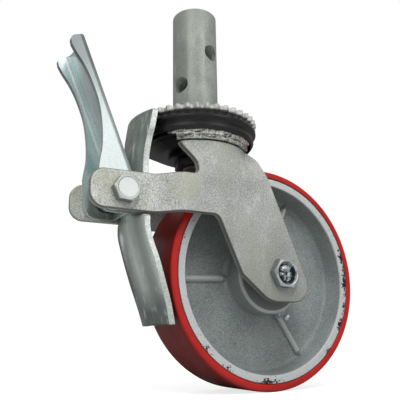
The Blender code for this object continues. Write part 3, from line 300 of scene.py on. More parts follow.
def between(stations, value):
    """Read a smooth curve through (position, size) stations, positions rising."""
    if value <= stations[0][0]:
        return stations[0][1]
    for index in range(len(stations) - 1):
        low, high = stations[index], stations[index + 1]
        if value > high[0]:
            continue
        before = stations[max(index - 1, 0)]
        after = stations[min(index + 2, len(stations) - 1)]
        width = high[0] - low[0]
        slope_low = (high[1] - before[1]) / (high[0] - before[0]) * width
        slope_high = (after[1] - low[1]) / (after[0] - low[0]) * width
        t = (value - low[0]) / width
        return ((2 * t ** 3 - 3 * t ** 2 + 1) * low[1] + (t ** 3 - 2 * t ** 2 + t) * slope_low
                + (3 * t ** 2 - 2 * t ** 3) * high[1] + (t ** 3 - t ** 2) * slope_high)
    return stations[-1][1]


def turned(profile, steps, centre=None):
    """Turn (radius, height) points right round Z, or round a line along Y through the centre."""
    axis = "Z" if centre is None else "Y"
    builder = bmesh.new()
    rings = []
    for radius, height in profile:
        count = 1 if radius == 0.0 else steps
        spots = [place(radius, math.tau * step / steps, height, axis) for step in range(count)]
        rings.append([builder.verts.new(spot) for spot in spots])
    pairs = list(zip(rings, rings[1:]))
    if profile[0][0] != 0.0:
        pairs.append((rings[-1], rings[0]))
    for upper, lower in pairs:
        for step in range(steps):
            following = (step + 1) % steps
            corners = [upper[step % len(upper)], upper[following % len(upper)],
                       lower[following % len(lower)], lower[step % len(lower)]]
            builder.faces.new(list(dict.fromkeys(corners)))
    if centre is not None:
        bmesh.ops.translate(builder, verts=builder.verts, vec=centre)
    return builder


def extruded(outline, start, end):
    """Extrude an outline of (x, z) points along Y."""
    builder = bmesh.new()
    layers = [[builder.verts.new((x, y, z)) for x, z in outline] for y in (start, end)]
    builder.faces.new(layers[0])
    builder.faces.new(list(reversed(layers[1])))
    count = len(outline)
    for index in range(count):
        following = (index + 1) % count
        builder.faces.new((layers[0][index], layers[0][following],
                           layers[1][following], layers[1][index]))
    return builder


def lofted(rings):
    """Faces between closed rings of points, and a cap at each end."""
    builder = bmesh.new()
    rows = [[builder.verts.new(point) for point in ring] for ring in rings]
    for row, following in zip(rows, rows[1:]):
        count = len(row)
        for index in range(count):
            after = (index + 1) % count
            builder.faces.new((row[index], row[after], following[after], following[index]))
    builder.faces.new(rows[0])
    builder.faces.new(list(reversed(rows[-1])))
    return builder


def polygon(centre, radius, sides, turn=0.0):
    return [(centre[0] + radius * math.cos(turn + math.tau * side / sides),
             centre[1] + radius * math.sin(turn + math.tau * side / sides))
            for side in range(sides)]


def new_object(name, builder):
    bmesh.ops.recalc_face_normals(builder, faces=builder.faces)
    mesh = bpy.data.meshes.new(name)
    builder.to_mesh(mesh)
    builder.free()
    item = bpy.data.objects.new(name, mesh)
    bpy.context.scene.collection.objects.link(item)
    return item


def turned_piece(name, profile, steps, centre=None):
    return new_object(name, turned(profile, steps, centre))


def settle(item):
    """Turn an object's modifiers and place into a plain mesh at the origin."""
    bpy.context.view_layer.update()
    graph = bpy.context.evaluated_depsgraph_get()
    mesh = bpy.data.meshes.new_from_object(item.evaluated_get(graph))
    mesh.transform(item.matrix_world)
    item.modifiers.clear()
    item.data = mesh
    item.matrix_world = Matrix.Identity(4)
    return item


def combine(item, tool, operation):
    modifier = item.modifiers.new(operation, "BOOLEAN")
    modifier.operation = operation
    modifier.solver = "EXACT"
    modifier.object = tool
    settle(item)
    bpy.data.objects.remove(tool, do_unlink=True)
    return item


def soften(item, width, angle):
    """Round an object's edges that are sharper than the angle."""
    modifier = item.modifiers.new("edges", "BEVEL")
    modifier.width = width
    modifier.segments = 2
    modifier.limit_method = "ANGLE"
    modifier.angle_limit = math.radians(angle)
    modifier.use_clamp_overlap = True
    return settle(item)


def even_normals(item):
    """Keep large flat faces flat in shading beside their rounded edges."""
    item.data.shade_smooth()
    modifier = item.modifiers.new("normals", "WEIGHTED_NORMAL")
    modifier.weight = 90
    modifier.keep_sharp = True
    return settle(item)


def mark_rim(item, levels):
    """Store on each vertex how much it belongs to a cut edge."""
    layer = item.data.attributes.new("rim", "FLOAT", "POINT")
    layer.data.foreach_set("value", levels)


def dress(item, material, body, nodes, sharp):
    """Give a finished mesh its material, smooth shading and body, and hide the CAD nodes it stands
    for.
    """
    item.data.materials.clear()
    item.data.materials.append(bpy.data.materials[material])
    item.data.shade_smooth()
    if sharp:
        item.data.set_sharp_from_angle(angle=math.radians(sharp))
    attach(item, body)
    if nodes:
        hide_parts(*nodes)
    return item


# Node helpers

def sum_method(operation, swapped=False):
    """A method for one sign in a sum, which adds the math node for it."""
    def method(self, other):
        return self.tree.math(operation, *((other, self) if swapped else (self, other)))
    return method


class Value:
    """One output of a node; a sum written with it becomes math nodes."""

    def __init__(self, tree, socket):
        self.tree = tree
        self.socket = socket

    __add__, __radd__ = sum_method("ADD"), sum_method("ADD", True)
    __sub__, __rsub__ = sum_method("SUBTRACT"), sum_method("SUBTRACT", True)
    __mul__, __rmul__ = sum_method("MULTIPLY"), sum_method("MULTIPLY", True)
    __truediv__, __rtruediv__ = sum_method("DIVIDE"), sum_method("DIVIDE", True)
    __pow__ = sum_method("POWER")
    __gt__, __lt__ = sum_method("GREATER_THAN"), sum_method("LESS_THAN")

    def __abs__(self):
        return self.tree.math("ABSOLUTE", self)


class Added:
    """A node in a tree; its outputs are read by name or number."""

    def __init__(self, tree, node):
        self.tree = tree
        self.node = node
        self.inputs = node.inputs

    def __getitem__(self, key):
        return Value(self.tree, self.node.outputs[key])


class Tree:
    """Adds nodes to a node tree and links them."""

    def __init__(self, tree):
        self.tree = tree
        self.shader = tree.nodes.get("Principled BSDF")

    def add(self, kind, inputs=None, **values):
        node = self.tree.nodes.new(kind)
        for name, value in values.items():
            setattr(node, name, value)
        for name, value in (inputs or {}).items():
            self.feed(node.inputs[name], value)
        return Added(self, node)

    def feed(self, socket, value):
        if isinstance(value, Value):
            self.tree.links.new(value.socket, socket)
        elif socket.type == "RGBA":
            socket.default_value = (*value, 1.0)
        else:
            socket.default_value = value

    def shade(self, label, value):
        """Feed one of the shader's own sockets."""
        self.feed(self.shader.inputs[label], value)

    def put_out(self, *values):
        """Feed the group's outputs in their order."""
        for socket, value in zip(self.add("NodeGroupOutput").inputs, values):
            self.feed(socket, value)

    def math(self, operation, *values):
        return self.add("ShaderNodeMath", dict(enumerate(values)), operation=operation)[0]

    def vector_math(self, operation, first, second):
        node = self.add("ShaderNodeVectorMath", {0: first, 1: second}, operation=operation)
        return node["Value" if operation == "DOT_PRODUCT" else "Vector"]

    def vector(self, x=0.0, y=0.0, z=0.0):
        return self.add("ShaderNodeCombineXYZ", {"X": x, "Y": y, "Z": z})[0]

    def turn(self, radius, angle, height):
        """A place on a circle round Z."""
        return self.vector(radius * self.math("COSINE", angle), radius * self.math("SINE", angle),
                           height)

    def parts(self, vector):
        """A vector's x, y and z."""
        return self.add("ShaderNodeSeparateXYZ", {"Vector": vector})

    def span(self, value, low, high, start=0.0, end=1.0, **values):
        """Carry a value from the range low to high over to start to end, and stop there."""
        return self.add("ShaderNodeMapRange", {"Value": value, "From Min": low, "From Max": high,
                                               "To Min": start, "To Max": end}, **values)[0]

    def mix(self, share, first, second, blend="MIX"):
        return self.add("ShaderNodeMix", {0: share, 6: first, 7: second}, data_type="RGBA",
                        blend_type=blend)[2]

    def ramp(self, value, stops):
        """Grey levels at stops of (position, level)."""
        node = self.add("ShaderNodeValToRGB", {0: value})
        elements = node.node.color_ramp.elements
        elements[0].position, elements[1].position = stops[0][0], stops[-1][0]
        for position, level in stops[1:-1]:
            elements.new(position)
        for element, (position, level) in zip(elements, stops):
            element.color = (level, level, level, 1.0)
        return node[0]

    def rise(self, value, low, high, top=1.0):
        """Black up to low, then grey up to the top level at high."""
        return self.ramp(value, [(low, 0.0), (high, top)])

    def noise(self, place, scale, detail=3.0, roughness=0.55):
        return self.add("ShaderNodeTexNoise", {"Vector": place, "Scale": scale, "Detail": detail,
                                               "Roughness": roughness})[0]

    def stretch(self, place, scale):
        return self.add("ShaderNodeMapping", {"Vector": place, "Scale": scale})[0]

    def group(self, name, **inputs):
        node = self.add("ShaderNodeGroup", node_tree=bpy.data.node_groups["Castor " + name])
        for label, value in inputs.items():
            self.feed(node.inputs[label.replace("_", " ")], value)
        return node


def new_group(name, inputs, outputs):
    """A shader group with named sockets, as its tree and its inputs."""
    group = bpy.data.node_groups.new("Castor " + name, "ShaderNodeTree")
    kinds = {"Place": "NodeSocketVector", "Colour": "NodeSocketColor", "Tint": "NodeSocketColor"}
    for way, labels in (("INPUT", inputs), ("OUTPUT", outputs)):
        for label in labels:
            group.interface.new_socket(label, in_out=way,
                                       socket_type=kinds.get(label, "NodeSocketFloat"))
    tree = Tree(group)
    return tree, tree.add("NodeGroupInput")


def make_grain_group():
    """Fine speckle and slow clouds over a base colour, with a height for bump."""
    tree, source = new_group(
        "grain", ("Place", "Colour", "Grain size", "Grain", "Cloud size", "Clouds"),
        ("Colour", "Grain", "Clouds"))
    grain = tree.noise(source["Place"], source["Grain size"], 2.0, 0.6)
    grain = tree.rise(grain, 0.30, 0.70)
    clouds = tree.noise(source["Place"], source["Cloud size"], 4.0, 0.55)
    clouds = tree.rise(clouds, 0.32, 0.68)
    level = (grain - 0.5) * source["Grain"] + (clouds - 0.5) * source["Clouds"] + 1.0
    tint = tree.add("ShaderNodeVectorMath", operation="SCALE")
    tree.feed(tint.inputs[0], source["Colour"])
    tree.feed(tint.inputs["Scale"], level)
    tree.put_out(tint[0], grain, clouds)


def make_scratch_group():
    """Thin long scratches along one direction, as a mask."""
    tree, source = new_group("scratches", ("Place", "Size", "Amount"), ("Mask",))
    streak = tree.noise(tree.stretch(source["Place"], (1.0, 1.0, 0.06)), source["Size"], 2.0, 0.5)
    patch = tree.noise(source["Place"], 90.0, 2.0, 0.5)
    tree.put_out(tree.rise(streak, 0.60, 0.68) * tree.rise(patch, 0.45, 0.62) * source["Amount"])


def make_film_group():
    """A thin tinted film in slow patches over a colour."""
    tree, source = new_group("film", ("Place", "Colour", "Tint", "Size", "Amount"), ("Colour",))
    patch = tree.rise(tree.noise(source["Place"], source["Size"], 2.0, 0.5), 0.46, 0.64)
    tree.put_out(tree.mix(patch * source["Amount"], source["Colour"], source["Tint"]))


def make_wheel_place_group():
    """Distance and angle round the wheel's axle."""
    tree, source = new_group("wheel place", ("Place",), ("Distance", "Angle"))
    x, y, z = tree.parts(tree.vector_math("SUBTRACT", source["Place"], AXLE))
    tree.put_out(tree.math("SQRT", x ** 2.0 + z ** 2.0), tree.math("ARCTAN2", z, x))


def make_chip_group():
    """Places where paint has chipped off along a circle round the axle, as a mask."""
    tree, source = new_group(
        "chips", ("Place", "Distance", "Angle", "Radius", "Width", "Amount"), ("Mask",))
    near = 1.0 - abs(source["Distance"] - source["Radius"]) / source["Width"]
    where = 0.0
    for degrees, spread, strength in CHIP_PLACES:
        share = 1.0 - abs(source["Angle"] - math.radians(degrees)) / math.radians(spread)
        where = tree.math("MAXIMUM", tree.math("MAXIMUM", share, 0.0) * strength, where)
    rough = tree.noise(source["Place"], 520.0, 3.0, 0.7)
    level = near * 0.8 + where + (rough - 0.5) * 5.0 + source["Amount"] - 2.0
    tree.put_out(tree.add("ShaderNodeClamp", {"Value": level * 5.0})[0])


def start_material(name, metallic, roughness, **constants):
    """A material's tree; constants are set on the shader's own sockets."""
    material = bpy.data.materials.new(name)
    material.use_nodes = True
    tree = Tree(material.node_tree)
    for label, value in (("Metallic", metallic), ("Roughness", roughness), *constants.items()):
        tree.shade(label.replace("_", " "), value)
    return tree


def grained_material(name, colour, metallic, roughness, grain, clouds, bump, grain_size=1400.0,
                     cloud_size=60.0, depth=0.15 * MM, gloss_range=0.12, **constants):
    """A material with speckle, clouds and bump; also gives its place and its base colour."""
    tree = start_material(name, metallic, roughness, **constants)
    spot = tree.add("ShaderNodeTexCoord")["Object"]
    group = tree.group("grain", Place=spot, Colour=colour, Grain_size=grain_size, Grain=grain,
                       Cloud_size=cloud_size, Clouds=clouds)
    tree.shade("Base Color", group["Colour"])
    low, high = roughness - gloss_range / 2, roughness + gloss_range / 2
    tree.shade("Roughness", group["Clouds"] * (high - low) + low)
    tree.shade("Normal", tree.add("ShaderNodeBump", {
        "Strength": bump, "Distance": depth, "Height": group["Grain"]})[0])
    return tree, spot, group["Colour"]


def make_materials(colours):
    for make_group in (make_grain_group, make_scratch_group, make_film_group,
                       make_wheel_place_group, make_chip_group):
        make_group()
    for make_material in (make_weld, make_plate_zinc, make_stem_zinc, make_bright_zinc,
                          make_nut_zinc, make_pedal_zinc, make_bolt_face, make_shoe_zinc,
                          make_casting, make_tyre_red):
        make_material(colours)
    grained_material("Ring zinc", colours.ring, 0.60, 0.36, 0.45, 0.5,
                     grain_size=800.0, cloud_size=260.0, bump=0.5)
    grained_material("Bearing steel", colours.zinc, 1.0, 0.25, 0.1, 0.1, bump=0.1)
    grained_material("Bronze", (0.50, 0.34, 0.15), 1.0, 0.35, 0.15, 0.2, bump=0.15)
    # This black also stands for painted shade on the lower race and the king nut under the crown
    grained_material("Black crown", colours.black, 0.0, 0.34, 0.4, 0.4, grain_size=500.0,
                     bump=0.5, depth=0.3 * MM)
    grained_material("Black seal", colours.black, 0.0, 0.30, 0.3, 0.4, grain_size=400.0,
                     bump=0.12)


def rim_mask(tree):
    """The cut-edge level stored on a piece's vertices."""
    return tree.add("ShaderNodeAttribute", attribute_name="rim")["Fac"]


def make_weld(colours):
    """Rough bright metal with painted shade in the gaps between its ripples."""
    tree, spot, base = grained_material(
        "Weld bead", colours.weld, 0.85, 0.30, 0.7, 0.9, grain_size=700.0, cloud_size=330.0,
        bump=0.6, depth=0.3 * MM)
    # Painted shade: noise picks out the gaps between the ripples and darkens them
    gap_shade = tree.rise(tree.noise(tree.stretch(spot, (0.5, 0.5, 1.8)), 380.0, 3.0, 0.6),
                     0.53, 0.62, 0.85)
    tree.shade("Base Color", tree.mix(gap_shade, base, (0.06, 0.06, 0.055)))


def make_plate_zinc(colours):
    """Dull galvanised plate: speckled and clouded, with pale runs, and painted shade that darkens
    it past the arm, towards the leg's end and on its rounded rims.
    """
    tree, spot, base = grained_material(
        "Galvanised plate", colours.galvanised, 0.35, 0.44, 0.85, 0.34, grain_size=1150.0,
        cloud_size=40.0, bump=0.6, depth=0.3 * MM, gloss_range=0.2)
    film = tree.group("film", Place=spot, Colour=base, Tint=(0.52, 0.54, 0.38), Size=34.0,
                      Amount=0.5)
    runs = tree.noise(tree.stretch(spot, (1.0, 1.0, 0.45)), 150.0, 4.0, 0.6)
    runs = tree.rise(runs, 0.60, 0.70)
    colour = tree.mix(runs * 0.5, film[0], (0.84, 0.87, 0.86))
    x, y, z = tree.parts(spot)
    # Painted shade: past the arm the leg is darker than the arm
    past_arm_shade = tree.span(x, JOGGLE_START, 0.5 * JOGGLE_END)
    colour = tree.mix(past_arm_shade, colour, (0.79, 0.80, 0.81), "MULTIPLY")
    # Painted shade: darker towards the leg's end
    low = tree.span(z, BOLT.z, AXLE.z - LEG_END, 0.0, 0.50)
    colour = tree.mix(low, colour, (0.20, 0.225, 0.20))
    # Painted shade on the rounded cut edges, standing in for the darker surroundings they reflect
    colour = tree.mix(rim_mask(tree) * 0.72, colour, (0.05, 0.055, 0.05))
    tree.shade("Base Color", colour)


def make_stem_zinc(colours):
    tree, spot, base = grained_material(
        "Stem zinc", colours.stem, 0.72, 0.46, 0.34, 0.34, grain_size=900.0, cloud_size=80.0,
        bump=0.25, depth=0.2 * MM)
    film = tree.group("film", Place=spot, Colour=base, Tint=(0.36, 0.40, 0.33), Size=40.0,
                      Amount=0.5)
    marks = tree.group("scratches", Place=spot, Size=420.0, Amount=0.4)
    tree.shade("Base Color", tree.mix(marks[0], film[0], (0.80, 0.82, 0.78)))


def make_bright_zinc(colours):
    tree, spot, base = grained_material(
        "Bright zinc", colours.zinc, 0.85, 0.24, 0.12, 0.3, grain_size=900.0,
        cloud_size=60.0, bump=0.08)
    marks = tree.group("scratches", Place=spot, Size=700.0, Amount=0.3)
    tree.shade("Base Color", tree.mix(marks[0], base, (0.85, 0.86, 0.84)))


def make_nut_zinc(colours):
    """Bright zinc whose turned end face is painted dark as painted shade, with painted highlights
    as pale streaks out from its middle, and painted shade on the hexagon's flanks.
    """
    tree, spot, base = grained_material(
        "Nut zinc", colours.zinc, 0.9, 0.20, 0.2, 0.4, grain_size=900.0, cloud_size=160.0,
        bump=0.1)
    wheel_place = tree.group("wheel place", Place=spot)
    distance, angle = wheel_place["Distance"], wheel_place["Angle"]
    streak = tree.vector(tree.math("COSINE", angle) * 1.2, tree.math("SINE", angle) * 1.2,
                         distance * 180.0)
    # Painted highlights: pale streaks out from the middle of the turned face
    streaks = tree.rise(tree.noise(streak, 1.3, 2.0, 0.5), 0.47, 0.58)
    face_light_and_shade = tree.mix(streaks, (0.035, 0.045, 0.05), (0.62, 0.68, 0.68))
    # Painted shade in the ring of the recess, a painted highlight on the bolt's end and painted
    # shade in its centre hole
    face_light_and_shade = tree.mix((distance > NUT_SHADE_RING) * 0.6, face_light_and_shade, (0.02, 0.025, 0.03))
    face_light_and_shade = tree.mix((distance < NUT_PIP) * 0.6, face_light_and_shade, (0.40, 0.47, 0.49))
    face_light_and_shade = tree.mix(distance < NUT_DOT, face_light_and_shade, (0.03, 0.035, 0.04))
    # Painted shade on the hexagon's flanks behind its face
    side = tree.parts(spot)[1] > NUT_FACE + 1.3 * MM
    hexagon_part = tree.mix(side * 0.75, base, (0.22, 0.27, 0.25))
    tree.shade("Base Color", tree.mix(distance < NUT_TURNED, hexagon_part, face_light_and_shade))


def pedal_levels(tree, spot):
    """Distances in the pedal's own directions: along its web, out from it, and across."""
    from_bolt = tree.vector_math("SUBTRACT", spot, BOLT)
    slope_x, slope_z = math.cos(PEDAL_SLOPE), math.sin(PEDAL_SLOPE)
    along = tree.vector_math("DOT_PRODUCT", from_bolt, (-slope_x, 0.0, slope_z))
    out = tree.vector_math("DOT_PRODUCT", from_bolt, (slope_z, 0.0, slope_x))
    return along, out - PEDAL_WEB_OFFSET, tree.parts(spot)[1]


def make_pedal_zinc(colours):
    """Bright zinc with painted shade towards its top, that turns blue-green inside the channel with
    streaks of painted highlight and shade, and a painted highlight line in its bend.
    """
    tree, spot, base = grained_material(
        "Pedal zinc", colours.pedal, 0.80, 0.28, 0.12, 0.26, grain_size=900.0,
        cloud_size=46.0, bump=0.08)
    marks = tree.group("scratches", Place=spot, Size=700.0, Amount=0.3)
    along, out, across = pedal_levels(tree, spot)
    # Painted shade: the pedal darkens towards its top
    high = tree.span(along, 45.0 * MM, 95.0 * MM, 0.0, 0.8)
    outside = tree.mix(high, base, (0.22, 0.25, 0.25))
    outside = tree.mix(marks[0], outside, (0.92, 0.94, 0.92))
    inner = PEDAL_HALF - PEDAL_WALL
    side = abs(across)
    inside = (side < inner + 0.3 * MM) * (out < 0.3 * MM - PEDAL_WALL)
    # Inside the channel: blue-green, with streaks of painted highlight and shade
    streak = tree.vector(along * 14.0, out * 70.0, across * 110.0)
    shade = tree.rise(tree.noise(streak, 1.0, 3.0, 0.6), 0.38, 0.62)
    teal = tree.mix(shade, (0.56, 0.76, 0.73), (0.90, 1.0, 1.0))
    colour = tree.mix(inside, outside, teal)
    # Painted highlight: a pale line along the bend inside the channel, with less metal there
    from_bend = abs(side - inner) + abs(out + (PEDAL_WALL + 0.6 * MM))
    bend_highlight = tree.span(from_bend, 0.8 * MM, 2.0 * MM, 0.9, 0.0) * inside
    tree.shade("Metallic", (1.0 - bend_highlight) * 0.8)
    tree.shade("Base Color", tree.mix(bend_highlight, colour, (0.98, 1.0, 1.0)))


def make_bolt_face(colours):
    """A bright bolt, palest on its near face, with painted shade on its flanks behind it."""
    tree, spot, base = grained_material(
        "Bolt face", colours.bolt, 0.7, 0.30, 0.10, 0.12, grain_size=900.0,
        cloud_size=120.0, bump=0.06)
    across = tree.parts(spot)[1]
    # Painted shade on the flanks behind the near face
    behind = across > corner("brake_bolt", False, 1) + 0.9 * MM
    tree.shade("Base Color", tree.mix(behind, base, (0.26, 0.31, 0.28)))


def make_shoe_zinc(colours):
    """Rolled plate: painted highlight and shade in bands along its length, streaks that are partly
    rolling marks and partly painted shade, painted shade towards its foot, a few scratches, and
    pale speckled cut edges.
    """
    tree, spot, base = grained_material(
        "Shoe zinc", colours.shoe, 0.45, 0.26, 0.10, 0.12, grain_size=800.0,
        cloud_size=50.0, bump=0.06)
    x, across, height = tree.parts(spot)
    wave = tree.noise(tree.stretch(spot, (1.0, 1.0, 0.12)), 240.0, 3.0, 0.6)
    # The bands are painted reflections, pale and dark across the width, wobbling a little along it
    share = across / (2 * (PEDAL_HALF + SHOE_FLARE)) + 0.5 + (wave - 0.5) * 0.10
    band = tree.ramp(share, SHOE_REFLECTION_BANDS)
    # Above the arms and near the foot: streaks, partly rolling marks and partly painted shade
    streaks = tree.ramp(wave, [(0.30, 0.26), (0.60, 0.36), (0.70, 0.80)])
    upper = tree.span(height, BOLT.z + ARM_HALF_HEIGHT, BOLT.z - ARM_HALF_HEIGHT)
    lower = tree.span(height, SHOE_BOTTOM + 8.0 * MM, SHOE_BOTTOM + 24.0 * MM)
    band = tree.mix(upper * lower, streaks, band)
    tint = tree.mix(band, (0.0, 0.0, 0.0), (1.0, 1.06, 1.03))
    # Painted shade: darker towards the foot
    foot_shade = tree.span(height, SHOE_BOTTOM + 40.0 * MM, SHOE_BOTTOM + 6.0 * MM)
    tint = tree.mix(foot_shade, tint, (0.62, 0.63, 0.63), "MULTIPLY")
    base = tree.mix(1.0, base, tint, "MULTIPLY")
    marks = tree.group("scratches", Place=spot, Size=300.0, Amount=0.6)
    colour = tree.mix(marks[0], base, (0.80, 0.84, 0.82))
    specks = tree.rise(tree.noise(spot, 900.0, 2.0, 0.6), 0.30, 0.62)
    edge = tree.mix(specks, (0.44, 0.47, 0.45), (0.76, 0.79, 0.76))
    tree.shade("Base Color", tree.mix(rim_mask(tree) * (across < 0.0), colour, edge))


def make_casting(colours):
    """Grey paint over a rough casting, pale on the rim's face and chipped beside the tyre, with a
    painted highlight on the ribs and painted shade inside the hub face's pale brink.
    """
    tree, spot, base = grained_material(
        "Casting", colours.casting, 0.25, 0.42, 0.85, 0.28, grain_size=1450.0,
        cloud_size=35.0, bump=0.8, depth=0.3 * MM)
    wheel_place = tree.group("wheel place", Place=spot)
    distance, angle = wheel_place["Distance"], wheel_place["Angle"]
    seam = WHEEL_RADIUS - TYRE_THICKNESS
    chips = tree.group("chips", Place=spot, Distance=distance, Angle=angle,
                       Radius=seam - 1.6 * MM, Width=2.6 * MM, Amount=0.45)
    pits = tree.rise(tree.noise(spot, 700.0, 3.0, 0.65), 0.66, 0.70)
    pale = tree.mix(pits * 0.8, colours.rim, (0.03, 0.03, 0.03))
    colour = tree.mix(distance > RIM_EDGE - 0.2 * MM, base, pale)
    # The hub's end face: a pale turned brink, with painted shade inside it beside the leg
    depth = abs(tree.parts(spot)[1])
    on_hub = (distance < HUB_RADIUS + 0.4 * MM) * (depth > HUB_HALF - 1.4 * MM)
    brink = distance > HUB_RADIUS - 2.2 * MM
    hub_face = tree.mix(brink, (0.16, 0.17, 0.17), (0.58, 0.60, 0.59))
    colour = tree.mix(on_hub * 0.8, colour, hub_face)
    # Painted highlight on the ribs' raised tops
    rib_highlight = tree.span(depth, WEB_HALF + 1.0 * MM, WEB_HALF + 2.2 * MM, 0.0, 0.75)
    on_web = (distance > HUB_RADIUS + 4.5 * MM) * (distance < RIM_FOOT - 3.6 * MM)
    colour = tree.mix(rib_highlight * on_web, colour, (0.66, 0.68, 0.67))
    colour = tree.mix((distance > seam - 0.8 * MM) * 0.75, colour, (0.07, 0.02, 0.02))
    tree.shade("Base Color", tree.mix(chips["Mask"], colour, (0.025, 0.006, 0.007)))


def make_tyre_red(colours):
    """Cast tyre: painted a little darker and browner on its tread as painted shade, with faint
    scuffs.
    """
    tree, spot, base = grained_material(
        "Tyre red", colours.tyre, 0.0, 0.40, 0.16, 0.30, grain_size=520.0,
        cloud_size=34.0, bump=0.08, gloss_range=0.2, Specular_IOR_Level=0.34)
    distance = tree.group("wheel place", Place=spot)["Distance"]
    # Painted shade: the tread is darker than the sides
    tread_shade = tree.span(distance, WHEEL_RADIUS - 0.9 * MM, WHEEL_RADIUS - 0.1 * MM, 0.0, 0.86)
    tree.shade("Base Color", tree.mix(tread_shade, base, (0.17, 0.008, 0.007)))


# Pieces

class PieceOperator(bpy.types.Operator):
    """Base for the operators that make a piece"""
    bl_options = {"REGISTER", "UNDO"}

    def execute(self, context):
        self.make(context.scene.castor_sizes)
        return {"FINISHED"}


class CASTOR_OT_materials(bpy.types.Operator):
    """Make the castor's materials"""
    bl_idname = "castor.materials"
    bl_label = "Materials"

    def execute(self, context):
        make_materials(context.scene.castor_colours)
        return {"FINISHED"}


class CASTOR_OT_stem(PieceOperator):
    """Make the stem with its cross holes, and the bead at its foot"""
    bl_idname = "castor.stem"
    bl_label = "Stem"

    def make(self, sizes):
        profile = [(0.0, STEM_TOP)]
        profile += rounded([(0.0, STEM_TOP, 0), (STEM_RADIUS, STEM_TOP, STEM_CHAMFER),
                            (STEM_RADIUS, GAP, 0)], 5, closed=False)[1:]
        profile += [(KING_PIN, GAP), (KING_PIN, STEM_END + MM), (KING_PIN - MM, STEM_END),
                    (0.0, STEM_END)]
        stem = turned_piece("stem_piece", profile, STEM_STEPS)
        for height, turn in CROSS_HOLES:
            hole = turned_piece("hole", self.hole_profile(), HOLE_STEPS, (0.0, 0.0, height))
            hole.rotation_euler = (0.0, 0.0, turn)
            combine(stem, hole, "DIFFERENCE")
        soften(stem, 0.55 * MM, 50.0)
        dress(stem, "Stem zinc", "stem_head", ["stem"], 40.0)
        self.make_bead(sizes)

    @staticmethod
    def hole_profile():
        """A drilled hole keeps fine ridges from the drill."""
        reach = 1.5 * STEM_RADIUS
        profile = [(0.0, -reach)]
        for height in steps_between(-reach, reach, 180):
            ridge = RIDGE_HEIGHT * math.cos(math.tau * height / RIDGE_PITCH)
            profile.append((CROSS_HOLE + ridge, height))
        profile.append((0.0, reach))
        return profile

    def make_bead(self, sizes):
        inner = STEM_RADIUS + GAP
        builder = turned([(inner, BEAD_HEIGHT), (inner + 1.1 * MM, 2.0 * MM),
                          (inner + 2.2 * MM, 1.2 * MM), (inner + BEAD_WIDTH, GAP),
                          (inner, GAP)], STEM_STEPS)
        for vertex in builder.verts:
            if vertex.co.z > 0.5 * MM:
                vertex.co.z += 0.45 * MM * noise.noise(vertex.co * 420.0)
        bead = new_object("stem_bead", builder)
        dress(bead, "Weld bead", "stem_head", ["stem_weld"], 80.0)
        size = 0.8 * sizes.bead_size
        radius = inner + MM
        ripples = ripple_shape().build(
            "stem_ripples", "Weld bead", Count=round(math.tau * radius / size), Radius=radius,
            Start=0.0, End=math.tau, Height=1.5 * MM, Size=size, Seed=5)
        dress(ripples, "Weld bead", "stem_head", (), 80.0)


class NodeShape:
    """Adds geometry nodes to a new tree and puts the result on an object."""
    whole_numbers = ("Count", "Teeth", "Seed")

    def __init__(self, name, *labels):
        self.group = bpy.data.node_groups.new(name, "GeometryNodeTree")
        self.sockets = {"Material": self.new_socket("Material", "INPUT", "NodeSocketMaterial")}
        for label in labels:
            kind = "NodeSocketInt" if label in self.whole_numbers else "NodeSocketFloat"
            self.sockets[label] = self.new_socket(label, "INPUT", kind)
        self.new_socket("Geometry", "OUTPUT", "NodeSocketGeometry")
        self.tree = Tree(self.group)
        self.source = self.tree.add("NodeGroupInput")

    def new_socket(self, label, way, kind):
        return self.group.interface.new_socket(label, in_out=way, socket_type=kind).identifier

    def end(self, geometry):
        """Realize the copies, give them the material and put them out."""
        real = self.tree.add("GeometryNodeRealizeInstances", {"Geometry": geometry})
        self.tree.put_out(self.tree.add("GeometryNodeSetMaterial", {
            "Geometry": real[0], "Material": self.source["Material"]})[0])

    def build(self, name, material, **values):
        item = bpy.data.objects.new(name, bpy.data.meshes.new(name))
        bpy.context.scene.collection.objects.link(item)
        modifier = item.modifiers.new("shape", "NODES")
        modifier.node_group = self.group
        modifier[self.sockets["Material"]] = bpy.data.materials[material]
        for label, value in values.items():
            modifier[self.sockets[label]] = value
        return settle(item)


